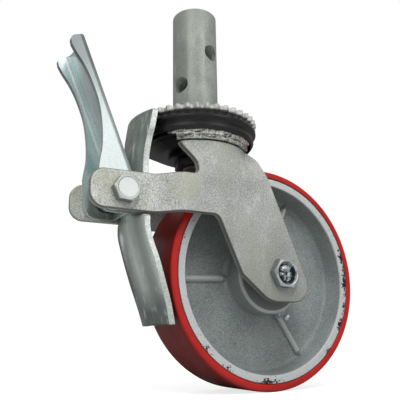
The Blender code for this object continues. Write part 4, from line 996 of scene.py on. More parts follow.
class CASTOR_OT_lock_ring(PieceOperator):
    """Make the toothed ring from its tooth count, depth and rounding"""
    bl_idname = "castor.lock_ring"
    bl_label = "Lock ring"

    def make(self, sizes):
        shape = NodeShape("Toothed ring", "Teeth", "Radius", "Depth", "Thickness", "Rounding",
                          "Bore")
        tree, source = shape.tree, shape.source
        grid = tree.add("GeometryNodeMeshGrid", {
            "Size X": 1.0, "Size Y": 1.0, "Vertices X": source["Teeth"] * 14.0,
            "Vertices Y": RING_SECTION_POINTS})
        x, y, z = tree.parts(tree.add("GeometryNodeInputPosition")[0])
        angle = (x + 0.5) * math.tau
        roundness = source["Rounding"] / source["Thickness"]
        across, up = self.superellipse(tree, (y + 0.5) * math.tau, roundness * 1.6)
        half_height = source["Thickness"] * 0.5
        wave = tree.math("COSINE", angle * source["Teeth"])
        valley = (1.0 - wave) * (VALLEY_DROP / 2)
        thin = 1.0 - valley * tree.math("MAXIMUM", across, 0.0) ** 6.0
        outer = source["Radius"] - source["Depth"] * 0.5 + wave * (source["Depth"] * 0.5)
        middle = (outer + source["Bore"]) * 0.5
        radius = middle + (outer - middle) * across
        moved = tree.add("GeometryNodeSetPosition", {
            "Geometry": grid[0],
            "Position": tree.turn(radius, angle, half_height * up * thin - half_height)})
        joined = tree.add("GeometryNodeMergeByDistance", {"Geometry": moved[0],
                                                          "Distance": 0.001 * MM})
        shape.end(joined[0])
        ring = shape.build(
            "toothed_ring", "Ring zinc", Teeth=TOOTH_COUNT, Radius=RING_TIP,
            Depth=TOOTH_DEPTH + TOOTH_RELIEF, Thickness=-RING_BOTTOM, Rounding=sizes.tooth_round,
            Bore=KING_PIN + GAP)
        builder = bmesh.new()
        builder.from_mesh(ring.data)
        bmesh.ops.recalc_face_normals(builder, faces=builder.faces)
        builder.to_mesh(ring.data)
        builder.free()
        dress(ring, "Ring zinc", "stem_head", ["lock_ring"], 60.0)

    @staticmethod
    def superellipse(tree, angle, roundness):
        """A rounded box section, as factors from -1 to 1 across and up."""
        factors = []
        for operation, power in (("COSINE", 0.10), ("SINE", roundness)):
            level = tree.math(operation, angle)
            factors.append(abs(level) ** power * tree.math("SIGN", level))
        return factors


class CASTOR_OT_swivel(PieceOperator):
    """Make the dust seal, and paint the crown and the bearing between them"""
    bl_idname = "castor.swivel"
    bl_label = "Swivel bearing"

    def make(self, sizes):
        top = SEAL_TOP
        radius = SEAL_RADIUS
        outside = [(radius - 2.0 * MM, 0.0, 0.3 * MM), (radius - 1.5 * MM, 1.8 * MM, 0.5 * MM),
                   (radius, 3.4 * MM, 0.9 * MM), (radius, 5.0 * MM, 0.9 * MM),
                   (radius - 2.7 * MM, 7.0 * MM, 0.8 * MM), (radius - 2.2 * MM, 8.6 * MM, 0.8 * MM),
                   (radius - 1.9 * MM, 11.2 * MM, 0.8 * MM),
                   (radius - 3.2 * MM, top - SEAL_BOTTOM, 0.3 * MM)]
        inside = [(41.9 * MM, top - SEAL_BOTTOM, 0.3 * MM), (41.9 * MM, 7.4 * MM, 0.3 * MM),
                  (40.5 * MM, 5.5 * MM, 0.3 * MM), (40.5 * MM, 0.0, 0.3 * MM)]
        section = rounded(outside + inside, 6)
        seal = turned_piece("seal_piece", [(r, top - depth) for r, depth in section], STEM_STEPS)
        dress(seal, "Black seal", "stem_head", ["dust_seal"], 60.0)
        # The crown is black partly for its own dark finish and partly as painted shade; on the
        # lower race and the king nut the black is painted shade under the crown
        for name, material in (("upper_race", "Bearing steel"), ("lower_race", "Black crown"),
                               ("king_nut", "Black crown"), ("ball_cage", "Bronze"),
                               ("crown", "Black crown")):
            paint(name, material)
        for name in frame["nodes"]:
            if name.startswith("ball_") and name != "ball_cage":
                paint(name, "Bearing steel")


def paint(node, material):
    """Give a CAD node a better material."""
    for slot in frame["nodes"][node].material_slots:
        slot.material = bpy.data.materials[material]


def leg_face(x, z):
    """Half distance between the two plates' outer faces at this place."""
    span = min(abs(x), NECK_SPAN)
    neck = math.sqrt(NECK_RADIUS ** 2 - span ** 2)
    rounding = ease((z + BEND_TOP + BEND_HEIGHT) / BEND_HEIGHT)
    body = LEG_FACE + (neck - LEG_FACE) * rounding
    spread = ease((x - JOGGLE_START) / (JOGGLE_END - JOGGLE_START))
    return ARM_FACE + (body - ARM_FACE) * spread


def leg_outline(far_side):
    """A leg and its brake arm in one plate, counter-clockwise from the arm's lower corner."""
    arm_low = BOLT.z - ARM_HALF_HEIGHT
    arm_high = BOLT.z + ARM_HALF_HEIGHT
    if far_side:
        neck = [(FAR_NECK_START, NECK_TOP, 1.0 * MM),
                (FAR_NECK_START - 1.0 * MM, arm_high + 19.0 * MM, 12.0 * MM),
                (FAR_NECK_START - 9.5 * MM, arm_high + 2.5 * MM, 14.0 * MM)]
    else:
        neck = [(-NECK_LEFT, NECK_TOP, 1.0 * MM),
                (-NECK_LEFT + 8.8 * MM, arm_high + 10.0 * MM, 9.0 * MM),
                (-NECK_LEFT + 9.5 * MM, arm_high + 1.2 * MM, 6.0 * MM)]
    return rounded([
        (BOLT.x - ARM_TAIL, arm_low, ARM_CORNER),
        (AXLE.x - 50.9 * MM, arm_low + 0.3 * MM, 6.0 * MM),
        (AXLE.x - 33.1 * MM, AXLE.z - 1.6 * MM, 4.0 * MM),
        (AXLE.x - 0.56 * LEG_END, AXLE.z - LEG_END, LEG_END),
        (AXLE.x + 1.48 * LEG_END, AXLE.z - LEG_END, LEG_END),
        (AXLE.x - 8.2 * MM, AXLE.z + 68.5 * MM, 20.0 * MM),
        (NECK_RIGHT + 12.7 * MM, NECK_TOP - 5.8 * MM, 6.5 * MM),
        (NECK_RIGHT, NECK_TOP, 3.0 * MM),
        *neck,
        (BOLT.x - ARM_TAIL, arm_high - 0.2 * MM, ARM_CORNER),
    ], 12)


def bent_plate(name, outline, side, edge):
    """A plate of the outline with rounded edges, bent to the leg's faces."""
    builder = extruded(outline, 0.0, PLATE)
    bmesh.ops.recalc_face_normals(builder, faces=builder.faces)
    rim = [item for item in builder.edges if abs(item.verts[0].co.y - item.verts[1].co.y) < 1e-7]
    bmesh.ops.bevel(builder, geom=rim, offset=edge, segments=3, profile=0.5,
                    affect="EDGES", clamp_overlap=True)
    cuts = [(Vector((1.0, 0.0, 0.0)), x) for x in steps_between(JOGGLE_START, JOGGLE_END, 16)]
    cuts += [(Vector((1.0, 0.0, 0.0)), x) for x in steps_between(-NECK_SPAN, NECK_SPAN, 26)]
    cuts += [(Vector((0.0, 0.0, 1.0)), z)
             for z in steps_between(-BEND_TOP - BEND_HEIGHT, -BEND_TOP, 16)]
    for normal, level in cuts:
        geometry = list(builder.verts) + list(builder.edges) + list(builder.faces)
        bmesh.ops.bisect_plane(builder, geom=geometry, plane_co=normal * level, plane_no=normal,
                               dist=1e-7)
    bmesh.ops.triangulate(builder, faces=builder.faces)
    levels = []
    for vertex in builder.verts:
        depth = vertex.co.y
        levels.append(1.0 if 0.01 * MM < depth < 0.5 * PLATE else 0.0)
        vertex.co.y = side * (leg_face(vertex.co.x, vertex.co.z) - depth)
    plate = new_object(name, builder)
    mark_rim(plate, levels)
    return plate


class CASTOR_OT_fork(PieceOperator):
    """Make the two legs with their brake arms, and the weld bands under the crown"""
    bl_idname = "castor.fork"
    bl_label = "Fork"

    def make(self, sizes):
        for name, node, side in (("near_plate", "near_leg", -1), ("far_plate", "far_leg", 1)):
            plate = bent_plate(name, leg_outline(side > 0), side, sizes.plate_edge)
            even_normals(plate)
            dress(plate, "Galvanised plate", "fork", [node], 0)
        self.make_band("near_band", "near_weld", -1, -NECK_LEFT - BAND_OVERRUN,
                       NECK_RIGHT + BAND_OVERRUN)
        self.make_band("far_band", "far_weld", 1, FAR_NECK_START, NECK_RIGHT + BAND_OVERRUN)
        self.make_ripples(sizes)

    def make_band(self, name, node, side, start_x, end_x):
        rim = CROWN_RADIUS + GAP
        low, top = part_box(node)[0].z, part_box(node)[1].z
        face = rim + BAND_PROUD
        middle = low + 3.6 * MM
        radius = rim + 0.9 * MM
        section = rounded([
            (rim, top, 0.2 * MM), (face, top - 0.1 * MM, 0.8 * MM),
            (face, top - 2.6 * MM, 0.6 * MM), (radius, middle + 0.7 * MM, 0.3 * MM),
            (radius, middle - 0.7 * MM, 0.3 * MM),
            (NECK_RADIUS + 1.2 * MM, middle - 1.4 * MM, 0.4 * MM),
            (NECK_RADIUS + 1.7 * MM, low + 0.9 * MM, 0.5 * MM),
            (NECK_RADIUS + 1.4 * MM, low, 0.2 * MM), (NECK_RADIUS - 0.9 * MM, low, 0.1 * MM),
            (NECK_RADIUS - 0.9 * MM, low + 2.3 * MM, 0.1 * MM),
            (rim, low + 4.0 * MM, 0.1 * MM)], 5)
        start, end = math.acos(start_x / radius), math.acos(end_x / radius)
        rings = []
        count = round(abs(end - start) / math.radians(0.6))
        for share in steps_between(0.0, 1.0, count):
            angle = side * (start + (end - start) * share)
            taper = min(1.0, 0.45 + 12.0 * min(share, 1.0 - share))
            ring = []
            for r, height in section:
                spot = Vector(place(r, angle, height, "Z"))
                lump = noise.noise(spot * 300.0) + 0.5 * noise.noise(spot * 800.0)
                proud = max(0.0, r - rim) * taper
                swell = 0.35 * MM * lump if r > rim + 0.3 * MM else 0.0
                wide = (rim if r > rim else r) + proud + swell * taper
                ring.append(place(min(wide, face), angle, height, "Z"))
            rings.append(ring)
        band = new_object(name, lofted(rings))
        dress(band, "Weld bead", "fork", [node], 70.0)

    def make_ripples(self, sizes):
        """Two rows of weld ripples on the near band, and one on the far band."""
        shape = ripple_shape()
        rim = CROWN_RADIUS + 1.2 * MM
        seam = NECK_RADIUS + 1.6 * MM
        low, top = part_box("near_weld")[0].z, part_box("near_weld")[1].z
        left = math.acos((-NECK_LEFT - 2 * BAND_OVERRUN) / rim)
        right = math.acos((NECK_RIGHT + BAND_OVERRUN) / rim)
        far_left = math.acos(FAR_NECK_START / rim)
        rows = (("near_ripples_high", rim, -left, -right, top - BAND_PROUD, 1.0, 1),
                ("near_ripples_low", seam, -left + 0.16, -right, low + 1.6 * MM, 0.8, 2),
                ("far_ripples", rim, far_left, right, top - BAND_PROUD, 1.0, 3))
        for name, radius, start, end, height, share, seed in rows:
            size = sizes.bead_size * share
            item = shape.build(
                name, "Weld bead", Count=round(1.5 * radius * abs(end - start) / size),
                Radius=radius, Start=start, End=end, Height=height, Size=size, Seed=seed)
            dress(item, "Weld bead", "fork", (), 80.0)


def ripple_shape():
    """Weld ripples along an arc round the swivel axis: overlapping flattened drops."""
    shape = NodeShape("Weld ripples", "Count", "Radius", "Start", "End", "Height", "Size", "Seed")
    tree, source = shape.tree, shape.source

    def draw(seed, low, high):
        node = tree.add("FunctionNodeRandomValue", {2: low, 3: high, "Seed": seed},
                        data_type="FLOAT")
        return node[1]

    points = tree.add("GeometryNodePoints", {"Count": source["Count"]})
    share = tree.add("GeometryNodeInputIndex")[0] / (source["Count"] - 1.0)
    angle = source["Start"] + share * (source["End"] - source["Start"])
    height = source["Height"] + draw(source["Seed"], -0.35, 0.35) * source["Size"]
    spread = tree.add("GeometryNodeSetPosition", {
        "Geometry": points[0], "Position": tree.turn(source["Radius"], angle, height)})
    drop = tree.add("GeometryNodeMeshIcoSphere", {"Radius": source["Size"], "Subdivisions": 3})
    squash = tree.add("GeometryNodeTransform", {"Geometry": drop[0], "Scale": (0.40, 1.0, 0.50)})
    tilt = tree.vector(draw(source["Seed"] + 11.0, -0.35, 0.35), 0.0, angle)
    copies = tree.add("GeometryNodeInstanceOnPoints", {
        "Points": spread[0], "Instance": squash[0], "Rotation": tilt,
        "Scale": draw(source["Seed"] + 7.0, 0.55, 1.25)})
    shape.end(copies[0])
    return shape


def hexagon(name, centre, flats, start, end, turn, edge=0.25 * MM):
    """A hexagon along Y with its outer corners turned off."""
    corner_radius = flats / math.sqrt(3.0)
    blank = new_object(name, extruded(polygon((centre.x, centre.z), corner_radius, 6, turn),
                                      start, end))
    face = 0.475 * flats
    bevel = (corner_radius - face) * 0.5
    outward = math.copysign(1.0, end - start)
    cone = [(0.0, start - outward * MM), (1.2 * corner_radius, start - outward * MM),
            (1.2 * corner_radius, end - outward * (bevel + 0.1 * corner_radius)),
            (face, end), (0.0, end)]
    combine(blank, turned_piece("cone", cone, HOLE_STEPS, centre), "INTERSECT")
    return soften(blank, edge, 25.0)


class CASTOR_OT_axle(PieceOperator):
    """Make the axle nut and the bolt, with the bolt's end in the nut and its head on the far side,
    and paint the sleeve and the washers
    """
    bl_idname = "castor.axle"
    bl_label = "Axle"

    def make(self, sizes):
        nut = hexagon("nut_piece", AXLE, AXLE_FLATS, -LEG_FACE - GAP, NUT_FACE,
                      math.radians(-4.0))
        recess = [(0.0, NUT_FACE - MM), (8.6 * MM, NUT_FACE - MM), (8.0 * MM, NUT_FACE + 0.4 * MM),
                  (6.9 * MM, NUT_FACE + NUT_RECESS), (0.0, NUT_FACE + NUT_RECESS)]
        combine(nut, turned_piece("recess", recess, HOLE_STEPS, AXLE), "DIFFERENCE")
        even_normals(nut)
        dress(nut, "Nut zinc", "fork", ["axle_nut"], 0)
        self.make_bolt()
        for name in ("axle_sleeve", "thrust_washer_near", "thrust_washer_far"):
            paint(name, "Bearing steel")

    def make_bolt(self):
        """The bolt: a threaded end with a turned dimple, and the head on the far side."""
        end = corner("axle_bolt", False, 1)
        profile = [(0.0, end + 1.1 * MM), (0.7 * MM, end + 0.7 * MM), (1.3 * MM, end + 0.1 * MM),
                   (2.6 * MM, end), (4.6 * MM, end), (5.3 * MM, end + 0.35 * MM)]
        depth = end + 0.9 * MM
        while depth < end + 9.0 * MM:
            profile += [(THREAD_CREST, depth), (THREAD_ROOT, depth + THREAD_PITCH / 2)]
            depth += THREAD_PITCH
        profile += [(THREAD_CREST, depth), (THREAD_CREST, LEG_FACE + 2 * MM),
                    (0.0, LEG_FACE + 2 * MM)]
        bolt = turned_piece("axle_bolt_piece", profile, BOLT_STEPS, AXLE)
        far = corner("axle_bolt", True, 1)
        head = hexagon("head", AXLE, AXLE_FLATS, LEG_FACE + GAP, far, math.radians(20.0))
        combine(bolt, head, "UNION")
        dress(bolt, "Nut zinc", "fork", ["axle_bolt"], 30.0)


class CASTOR_OT_brake_bolt(PieceOperator):
    """Make the brake bolt's head, and finish its nut and sleeve"""
    bl_idname = "castor.brake_bolt"
    bl_label = "Brake bolt"

    def make(self, sizes):
        flats = BRAKE_BOLT_FLATS
        near = corner("brake_bolt", False, 1)
        far = corner("brake_bolt", True, 1)
        head = hexagon("brake_bolt_piece", BOLT, flats, -ARM_FACE - GAP, near,
                       math.radians(-5.0), 0.2 * MM)
        dish = [(0.0, near - MM), (0.40 * flats, near - MM), (0.40 * flats, near + 0.12 * MM),
                (0.0, near + 0.12 * MM)]
        combine(head, turned_piece("dish", dish, HOLE_STEPS, BOLT), "DIFFERENCE")
        shank = [(0.0, -ARM_FACE - 2 * MM), (5.0 * MM, -ARM_FACE - 2 * MM),
                 (5.0 * MM, far - 0.8 * MM), (4.2 * MM, far), (0.0, far)]
        combine(head, turned_piece("shank", shank, BOLT_STEPS, BOLT), "UNION")
        even_normals(head)
        dress(head, "Bolt face", "fork", ["brake_bolt"], 0)
        paint("brake_nut", "Bright zinc")
        paint("brake_sleeve", "Bearing steel")


class CASTOR_OT_wheel(PieceOperator):
    """Make the tyre, the cast core with its ribs, and the grease nipple"""
    bl_idname = "castor.wheel"
    bl_label = "Wheel"

    def make(self, sizes):
        self.make_tyre()
        self.make_core(sizes)
        self.make_nipple()
        paint("hub_bush", "Bronze")

    def make_tyre(self):
        inner = WHEEL_RADIUS - TYRE_THICKNESS
        wide = TREAD_HALF
        half = [(inner, wide - 0.4 * MM, 0.2 * MM), (inner + 0.5 * MM, wide, 0.3 * MM),
                (WHEEL_RADIUS - 0.2 * MM, wide - 0.1 * MM, 2.2 * MM)]
        crown = [(WHEEL_RADIUS, wide - 5.0 * MM, 8.0 * MM)]
        corners = half + crown
        corners += [(r, -y, fillet) for r, y, fillet in reversed(corners)]
        tyre = turned_piece("tyre_piece", rounded(corners, 6), TYRE_STEPS, AXLE)
        dress(tyre, "Tyre red", "wheel", ["tyre"], 50.0)

    def make_core(self, sizes):
        rim = WHEEL_RADIUS - TYRE_THICKNESS - GAP
        half = [(BUSH_RADIUS, HUB_HALF, 0.3 * MM), (HUB_RADIUS, HUB_HALF, 1.2 * MM),
                (HUB_RADIUS + 0.4 * MM, WEB_HALF, 4.0 * MM), (RIM_FOOT, WEB_HALF, 3.2 * MM),
                (RIM_EDGE, RIM_HALF, 0.7 * MM), (rim, RIM_HALF, 0.3 * MM)]
        corners = half + [(r, -y, fillet) for r, y, fillet in reversed(half)]
        core = turned_piece("core_piece", rounded(corners, 7), CORE_STEPS, AXLE)
        dress(core, "Casting", "wheel", ["wheel_core"], 40.0)
        self.make_ribs(sizes)

    def make_ribs(self, sizes):
        """Three ribs on each side of the web, copied round the hub."""
        shape = NodeShape("Wheel ribs", "Count", "Width", "Height", "Inner", "Outer", "Web")
        tree, source = shape.tree, shape.source
        size = tree.vector(source["Outer"] - source["Inner"], source["Height"] * 2.0,
                           source["Width"])
        block = tree.add("GeometryNodeMeshCube", {"Size": size, "Vertices X": 24,
                                                  "Vertices Y": 8, "Vertices Z": 8})
        x, y, z = tree.parts(tree.add("GeometryNodeInputPosition")[0])
        shrink = 1.25 - (abs(y) / source["Height"]) ** 3.0 * 0.62
        drop = (abs(z) / source["Width"]) ** 2.0
        rib = tree.add("GeometryNodeSetPosition", {
            "Geometry": block[0],
            "Position": tree.vector(x, y * (1.0 - drop * 1.3), z * shrink)})
        middle = (source["Outer"] + source["Inner"]) * 0.5
        pair = tree.add("GeometryNodeJoinGeometry")
        for side in (source["Web"] * -1.0, source["Web"]):
            moved = tree.add("GeometryNodeTransform", {"Geometry": rib[0],
                                                       "Translation": tree.vector(middle, side)})
            tree.feed(pair.inputs[0], moved[0])
        points = tree.add("GeometryNodePoints", {"Count": source["Count"]})
        index = tree.add("GeometryNodeInputIndex")[0]
        turn = tree.vector(0.0, RIB_START + index * (math.tau / source["Count"]))
        copies = tree.add("GeometryNodeInstanceOnPoints", {
            "Points": points[0], "Instance": pair[0], "Rotation": turn})
        at_axle = tree.add("GeometryNodeTransform", {"Geometry": copies[0], "Translation": AXLE})
        shape.end(at_axle[0])
        ribs = shape.build(
            "core_ribs", "Casting", Count=3, Width=sizes.rib_width, Height=sizes.rib_height,
            Inner=HUB_RADIUS - 0.5 * MM, Outer=RIM_FOOT + 0.3 * MM, Web=WEB_HALF)
        dress(ribs, "Casting", "wheel", (), 50.0)

    def make_nipple(self):
        low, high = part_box("grease_nipple")
        centre = (low + high) / 2
        outward = Vector((centre.x - AXLE.x, 0.0, centre.z - AXLE.z)).normalized()
        direction = (outward + Vector((0.0, -1.0, 0.0))).normalized()
        length = NIPPLE_LENGTH
        section = rounded([(0.0, length, 0), (2.0 * MM, length, 0.6 * MM),
                           (3.1 * MM, 0.86 * length, 0.6 * MM), (3.0 * MM, 0.70 * length, 0.5 * MM),
                           (1.9 * MM, 0.60 * length, 0.3 * MM), (2.0 * MM, 0.48 * length, 0.3 * MM),
                           (3.9 * MM, 0.44 * length, 0.3 * MM), (4.1 * MM, 0.02 * length, 0.2 * MM),
                           (0.0, 0.0, 0)], 4, closed=False)
        nipple = turned_piece("nipple_piece", section, NIPPLE_STEPS)
        nipple.rotation_mode = "QUATERNION"
        nipple.rotation_quaternion = direction.to_track_quat("Z", "Y")
        nipple.location = centre - direction * length / 2 + outward * NIPPLE_OUTWARD
        settle(nipple)
        dress(nipple, "Bright zinc", "wheel", ["grease_nipple"], 40.0)


def pedal_point(along, out):
    """A point given along the web from the brake bolt's level, and out from its outer face."""
    direction = Vector((-math.cos(PEDAL_SLOPE), math.sin(PEDAL_SLOPE)))
    normal = Vector((math.sin(PEDAL_SLOPE), math.cos(PEDAL_SLOPE)))
    spot = Vector((BOLT.x, BOLT.z)) + direction * along + normal * (PEDAL_WEB_OFFSET + out)
    return (spot.x, spot.y)


def pedal_web_reach(height):
    return (height - math.cos(PEDAL_SLOPE) * PEDAL_WEB_OFFSET) / math.sin(PEDAL_SLOPE)


def pedal_outline(top_height):
    """A cheek's outline, widened past the web so that the bend is kept whole."""
    top = pedal_web_reach(top_height - BOLT.z)
    low = pedal_web_reach(PEDAL_WEB_END)
    edge = PEDAL_CORNER
    outline = [pedal_point(low, 2 * MM), pedal_point(top - edge, 2 * MM),
               pedal_point(top - edge, 0.2 * MM), pedal_point(top - 0.3 * edge, -0.3 * edge)]
    deep = PEDAL_LIP_DEPTH - 0.5 * MM
    lip = rounded([(top, -edge, 0.0), (top, -deep, 5.5 * MM), (0.93 * top, -1.03 * deep, 0.0)],
                  8, closed=False)
    outline += [pedal_point(along, out) for along, out in lip[:-1]]
    shares = [(0.18, 1.88), (0.224, 1.66), (0.286, 1.33), (0.367, 1.03), (0.465, 0.77),
              (0.537, 0.64), (0.60, 0.583), (0.68, 0.583), (0.75, 0.625), (0.823, 0.733),
              (0.894, 0.908), (0.948, 1.0)]
    for share in steps_between(0.948, 0.18, 60):
        outline.append(pedal_point(share * top, -between(shares, share) * PEDAL_LIP_DEPTH))
    start, end = math.radians(163.0), math.radians(340.0)
    for share in steps_between(0.0, 1.0, 48):
        angle = start + (end - start) * share
        growth = CAM_GROWTH * (1.0 - ease((share - 0.30) / 0.45))
        radius = CAM_SMALL + growth
        outline.append((BOLT.x + radius * math.cos(angle), BOLT.z + radius * math.sin(angle)))
    outline.append((BOLT.x + CAM_SMALL, BOLT.z + 3.0 * MM))
    return outline


class CASTOR_OT_pedal(PieceOperator):
    """Make the pedal: a pressed channel with round bends, trimmed to its cheeks"""
    bl_idname = "castor.pedal"
    bl_label = "Pedal"

    def make(self, sizes):
        half, inner = PEDAL_HALF, PEDAL_HALF - PEDAL_WALL
        bend, inner_bend = PEDAL_BEND, PEDAL_BEND - PEDAL_WALL + 1.0 * MM
        deep = -60.0 * MM
        section = rounded([(deep, -half, 0), (0.0, -half, bend), (0.0, half, bend),
                           (deep, half, 0), (deep, inner, 0), (-PEDAL_WALL, inner, inner_bend),
                           (-PEDAL_WALL, -inner, inner_bend), (deep, -inner, 0)], 8)
        rings = []
        for along in steps_between(-0.03, 0.14, 4):
            spots = [(pedal_point(along, out), across) for out, across in section]
            rings.append([(x, across, z) for (x, z), across in spots])
        channel = new_object("pedal_piece", lofted(rings))
        trim = extruded(pedal_outline(corner("pedal", True, 2)), -2 * half, 2 * half)
        combine(channel, new_object("trim", trim), "INTERSECT")
        low = pedal_web_reach(PEDAL_WEB_END)
        mouth = [pedal_point(low, 9 * MM), pedal_point(low, -PEDAL_WALL - MM),
                 pedal_point(low - 0.06, -PEDAL_WALL - MM), pedal_point(low - 0.06, 9 * MM)]
        combine(channel, new_object("mouth", extruded(mouth, -inner, inner)), "DIFFERENCE")
        hole = extruded(polygon((BOLT.x, BOLT.z), PEDAL_HOLE, BOLT_STEPS), -2 * half, 2 * half)
        combine(channel, new_object("hole", hole), "DIFFERENCE")
        combine(channel, self.make_dip(inner), "DIFFERENCE")
        soften(channel, sizes.sheet_edge, 50.0)
        even_normals(channel)
        dress(channel, "Pedal zinc", "pedal", ["pedal"], 0)

    def make_dip(self, inner):
        """The web's top edge dips between the cheeks."""
        top = pedal_web_reach(corner("pedal", True, 2) - BOLT.z)
        edge = [(y, top - PEDAL_DIP * (1.0 - (y / inner) ** 2))
                for y in steps_between(-inner, inner, 24)]
        edge += [(inner, top + PEDAL_DIP), (-inner, top + PEDAL_DIP)]
        rings = []
        for out in (-PEDAL_WALL - 1.5 * MM, MM):
            spots = [(pedal_point(along, out), y) for y, along in edge]
            rings.append([(x, y, z) for (x, z), y in spots])
        return new_object("dip", lofted(rings))


def shoe_edge(z):
    """X of the shoe's inner face at its edges."""
    tyre, ring = AXLE.x - WHEEL_RADIUS, TOOTH_DEPTH / 2 - RING_TIP
    reach, arm, bow = AXLE.z - SHOE_BOTTOM, ARM_HALF_HEIGHT, SHOE_RISE
    stations = [
        (SHOE_BOTTOM, tyre + 0.68 * bow), (AXLE.z - 0.65 * reach, tyre + 0.10 * bow),
        (AXLE.z - 0.23 * reach, tyre - 0.74 * bow), (AXLE.z + 0.16 * reach, tyre - 1.51 * bow),
        (BOLT.z - 1.9 * arm, ring - 0.32 * bow), (BOLT.z - 1.16 * arm, ring - 0.42 * bow),
        (BOLT.z + 1.24 * arm, ring - 0.26 * bow), (BOLT.z + 2.43 * arm, ring - 0.18 * bow),
        (SEAL_BOTTOM + SHOE_TOP, ring + 0.07 * bow), (SHOE_TOP, ring + 0.56 * bow)]
    return between(stations, z)


def shoe_half_width(z):
    """The shoe passes between the arms, and is wider above and below them."""
    reach, arm = AXLE.z - SHOE_BOTTOM, ARM_HALF_HEIGHT
    stations = [(SHOE_BOTTOM, 0.43), (AXLE.z - 0.42 * reach, 0.84), (AXLE.z + 0.16 * reach, 1.0),
                (AXLE.z + 0.6 * reach, 0.84), (BOLT.z, 0.79), (BOLT.z + 1.24 * arm, 0.0),
                (BOLT.z + 3.0 * arm, 0.31), (BOLT.z + 3.7 * arm, 0.62), (SHOE_TOP, 0.70)]
    flare = SHOE_FLARE * between(stations, z)
    shoulder = BOLT.z - arm - 0.5 * MM
    if shoulder - SHOE_SHOULDER < z < BOLT.z:
        depth = max(0.0, (shoulder - z) / SHOE_SHOULDER)
        flare *= math.sqrt(1.0 - (1.0 - depth) ** 2)
    elif BOLT.z <= z < BOLT.z + 1.1 * arm:
        flare = 0.0
    return PEDAL_HALF + flare


def shoe_section(z, edge):
    """One closed ring of the arched plate, its cut edges rounded."""
    wide = shoe_half_width(z)
    base = shoe_edge(z) - SHOE_THICKNESS
    outer = []
    inner = []
    for share in steps_between(-1.0, 1.0, SHOE_COLUMNS):
        y = share * (wide - edge)
        x = base - SHOE_RISE * (1.0 - (y / wide) ** 2)
        outer.append((x, y, z))
        inner.append((x + SHOE_THICKNESS, y, z))
    slope = 2 * SHOE_RISE / wide

    def cap(side):
        y0 = side * (wide - edge)
        x0 = base - SHOE_RISE * (1.0 - (y0 / wide) ** 2)
        turns = steps_between(0.0, math.pi / 2, 4)[1:]
        points = []
        for turn in turns:
            points.append((x0 + edge * (1.0 - math.cos(turn)) + edge * math.sin(turn) * slope,
                           y0 + side * edge * math.sin(turn), z))
        for turn in reversed(turns[:-1]):
            points.append((x0 + SHOE_THICKNESS - edge * (1.0 - math.cos(turn))
                           + edge * math.sin(turn) * slope, y0 + side * edge * math.sin(turn), z))
        corner_point = (x0 + SHOE_THICKNESS - edge + edge * slope, y0 + side * edge, z)
        points.insert(len(turns), corner_point)
        return points

    return outer + cap(1.0) + list(reversed(inner)) + list(reversed(cap(-1.0)))


class CASTOR_OT_shoe(PieceOperator):
    """Make the arched brake shoe, and finish its bracket and pads"""
    bl_idname = "castor.shoe"
    bl_label = "Brake shoe"

    def make(self, sizes):
        rows = steps_between(SHOE_BOTTOM, SHOE_TOP, SHOE_ROWS)
        rings = [shoe_section(z, sizes.sheet_edge) for z in rows]
        shoe = new_object("shoe_piece", lofted(rings))
        count = len(rings[0])
        caps = range(SHOE_COLUMNS + 1, SHOE_COLUMNS + 1 + CAP_POINTS)
        cut = set(caps) | {count - 1 - (index - SHOE_COLUMNS - 1) for index in caps}
        mark_rim(shoe, [1.0 if index % count in cut else 0.0 for index in range(count * len(rows))])
        even_normals(shoe)
        dress(shoe, "Shoe zinc", "shoe", ["brake_shoe"], 50.0)
        for name in ("shoe_bracket", "cam_pad_near", "cam_pad_far"):
            paint(name, "Shoe zinc")


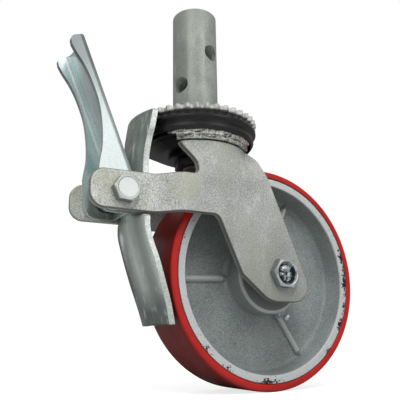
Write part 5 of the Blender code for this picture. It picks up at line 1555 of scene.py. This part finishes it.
class CASTOR_OT_stage(PieceOperator):
    """Make the floor, the lamps, the surroundings and the camera"""
    bl_idname = "castor.stage"
    bl_label = "Stage"

    def make(self, sizes):
        self.make_floor()
        self.make_surroundings()
        for name, spot, size, power in LAMPS:
            self.make_lamp(name, spot, size, power)
        self.make_camera()
        bpy.context.scene.view_settings.view_transform = "Standard"

    def make_floor(self):
        builder = bmesh.new()
        corners = [(-FLOOR_HALF, -FLOOR_HALF), (FLOOR_HALF, -FLOOR_HALF),
                   (FLOOR_HALF, FLOOR_HALF), (-FLOOR_HALF, FLOOR_HALF)]
        builder.faces.new([builder.verts.new((x, y, FLOOR - 0.05 * MM)) for x, y in corners])
        floor = new_object("floor", builder)
        tree = start_material("Floor white", 0.0, 0.9)
        seen = tree.add("ShaderNodeLightPath")["Is Camera Ray"]
        tree.shade("Base Color", tree.mix(seen, (0.45, 0.45, 0.45), (0.80, 0.80, 0.80)))
        glow = tree.add("ShaderNodeEmission", {"Color": (1.0, 1.0, 1.0),
                                               "Strength": seen * FLOOR_GLOW})
        both = tree.add("ShaderNodeAddShader", {0: Value(tree, tree.shader.outputs[0]),
                                                1: glow[0]})
        tree.feed(tree.tree.nodes["Material Output"].inputs["Surface"], both[0])
        floor.data.materials.append(bpy.data.materials["Floor white"])

    def make_surroundings(self):
        """White to the camera; to the castor, pale in front and above and darker to the left."""
        world = bpy.data.worlds.new("Studio")
        bpy.context.scene.world = world
        world.use_nodes = True
        tree = Tree(world.node_tree)
        background = world.node_tree.nodes["Background"]
        way = tree.add("ShaderNodeTexCoord")["Generated"]
        x, y, z = tree.parts(way)
        level = z * AMBIENT_UP + (x * AMBIENT_RIGHT + AMBIENT)
        for centre, width, strength in GLOWS:
            aligned = tree.vector_math("DOT_PRODUCT", way, Vector(centre).normalized())
            level = level + tree.span(aligned, math.cos(math.radians(width)), 1.0, 0.0, strength,
                                      interpolation_type="SMOOTHSTEP")
        seen = tree.add("ShaderNodeLightPath")["Is Camera Ray"]
        grey = tree.add("ShaderNodeCombineColor", {"Red": level, "Green": level, "Blue": level})
        tree.feed(background.inputs["Color"], tree.mix(seen, grey[0], (1.0, 1.0, 1.0)))
        background.inputs["Strength"].default_value = 1.0

    def make_lamp(self, name, spot, size, power):
        lamp = bpy.data.lights.new(name, "AREA")
        lamp.shape = "SQUARE"
        lamp.size = size
        lamp.energy = power
        item = bpy.data.objects.new(name, lamp)
        item.location = spot
        item.rotation_euler = (LAMP_TARGET - Vector(spot)).to_track_quat("-Z", "Y").to_euler()
        item.visible_glossy = False
        bpy.context.scene.collection.objects.link(item)

    def make_camera(self):
        camera = bpy.data.cameras.new("camera")
        camera.lens = CAMERA_LENS
        camera.sensor_width = SENSOR_WIDTH
        camera.clip_start = 0.01
        item = bpy.data.objects.new("camera", camera)
        bpy.context.scene.collection.objects.link(item)
        item.location = CAMERA_PLACE
        item.rotation_euler = (math.pi / 2 + CAMERA_PITCH, CAMERA_ROLL, CAMERA_YAW)
        bpy.context.scene.camera = item


class CASTOR_PT_panel(bpy.types.Panel):
    """Lists the castor's sizes, colours and pieces"""
    bl_idname = "CASTOR_PT_panel"
    bl_label = "Castor"
    bl_space_type = "VIEW_3D"
    bl_region_type = "UI"
    bl_category = "Castor"

    def draw(self, context):
        layout = self.layout
        for group in (context.scene.castor_sizes, context.scene.castor_colours):
            column = layout.column(align=True)
            for name in type(group).__annotations__:
                column.prop(group, name)
        column = layout.column(align=True)
        for operator in OPERATORS:
            column.operator(operator.bl_idname)


OPERATORS = (CASTOR_OT_materials, CASTOR_OT_stem, CASTOR_OT_lock_ring, CASTOR_OT_swivel,
             CASTOR_OT_fork, CASTOR_OT_axle, CASTOR_OT_brake_bolt, CASTOR_OT_wheel,
             CASTOR_OT_pedal, CASTOR_OT_shoe, CASTOR_OT_stage)
CLASSES = (CastorSizes, CastorColours, *OPERATORS, CASTOR_PT_panel)


def register():
    for item in CLASSES:
        bpy.utils.register_class(item)
    bpy.types.Scene.castor_sizes = bpy.props.PointerProperty(type=CastorSizes)
    bpy.types.Scene.castor_colours = bpy.props.PointerProperty(type=CastorColours)


def unregister():
    del bpy.types.Scene.castor_colours
    del bpy.types.Scene.castor_sizes
    for item in reversed(CLASSES):
        bpy.utils.unregister_class(item)


def main():
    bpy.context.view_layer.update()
    register()
    for operator in OPERATORS:
        group, name = operator.bl_idname.split(".")
        getattr(getattr(bpy.ops, group), name)()


if __name__ == "__main__":
    main()
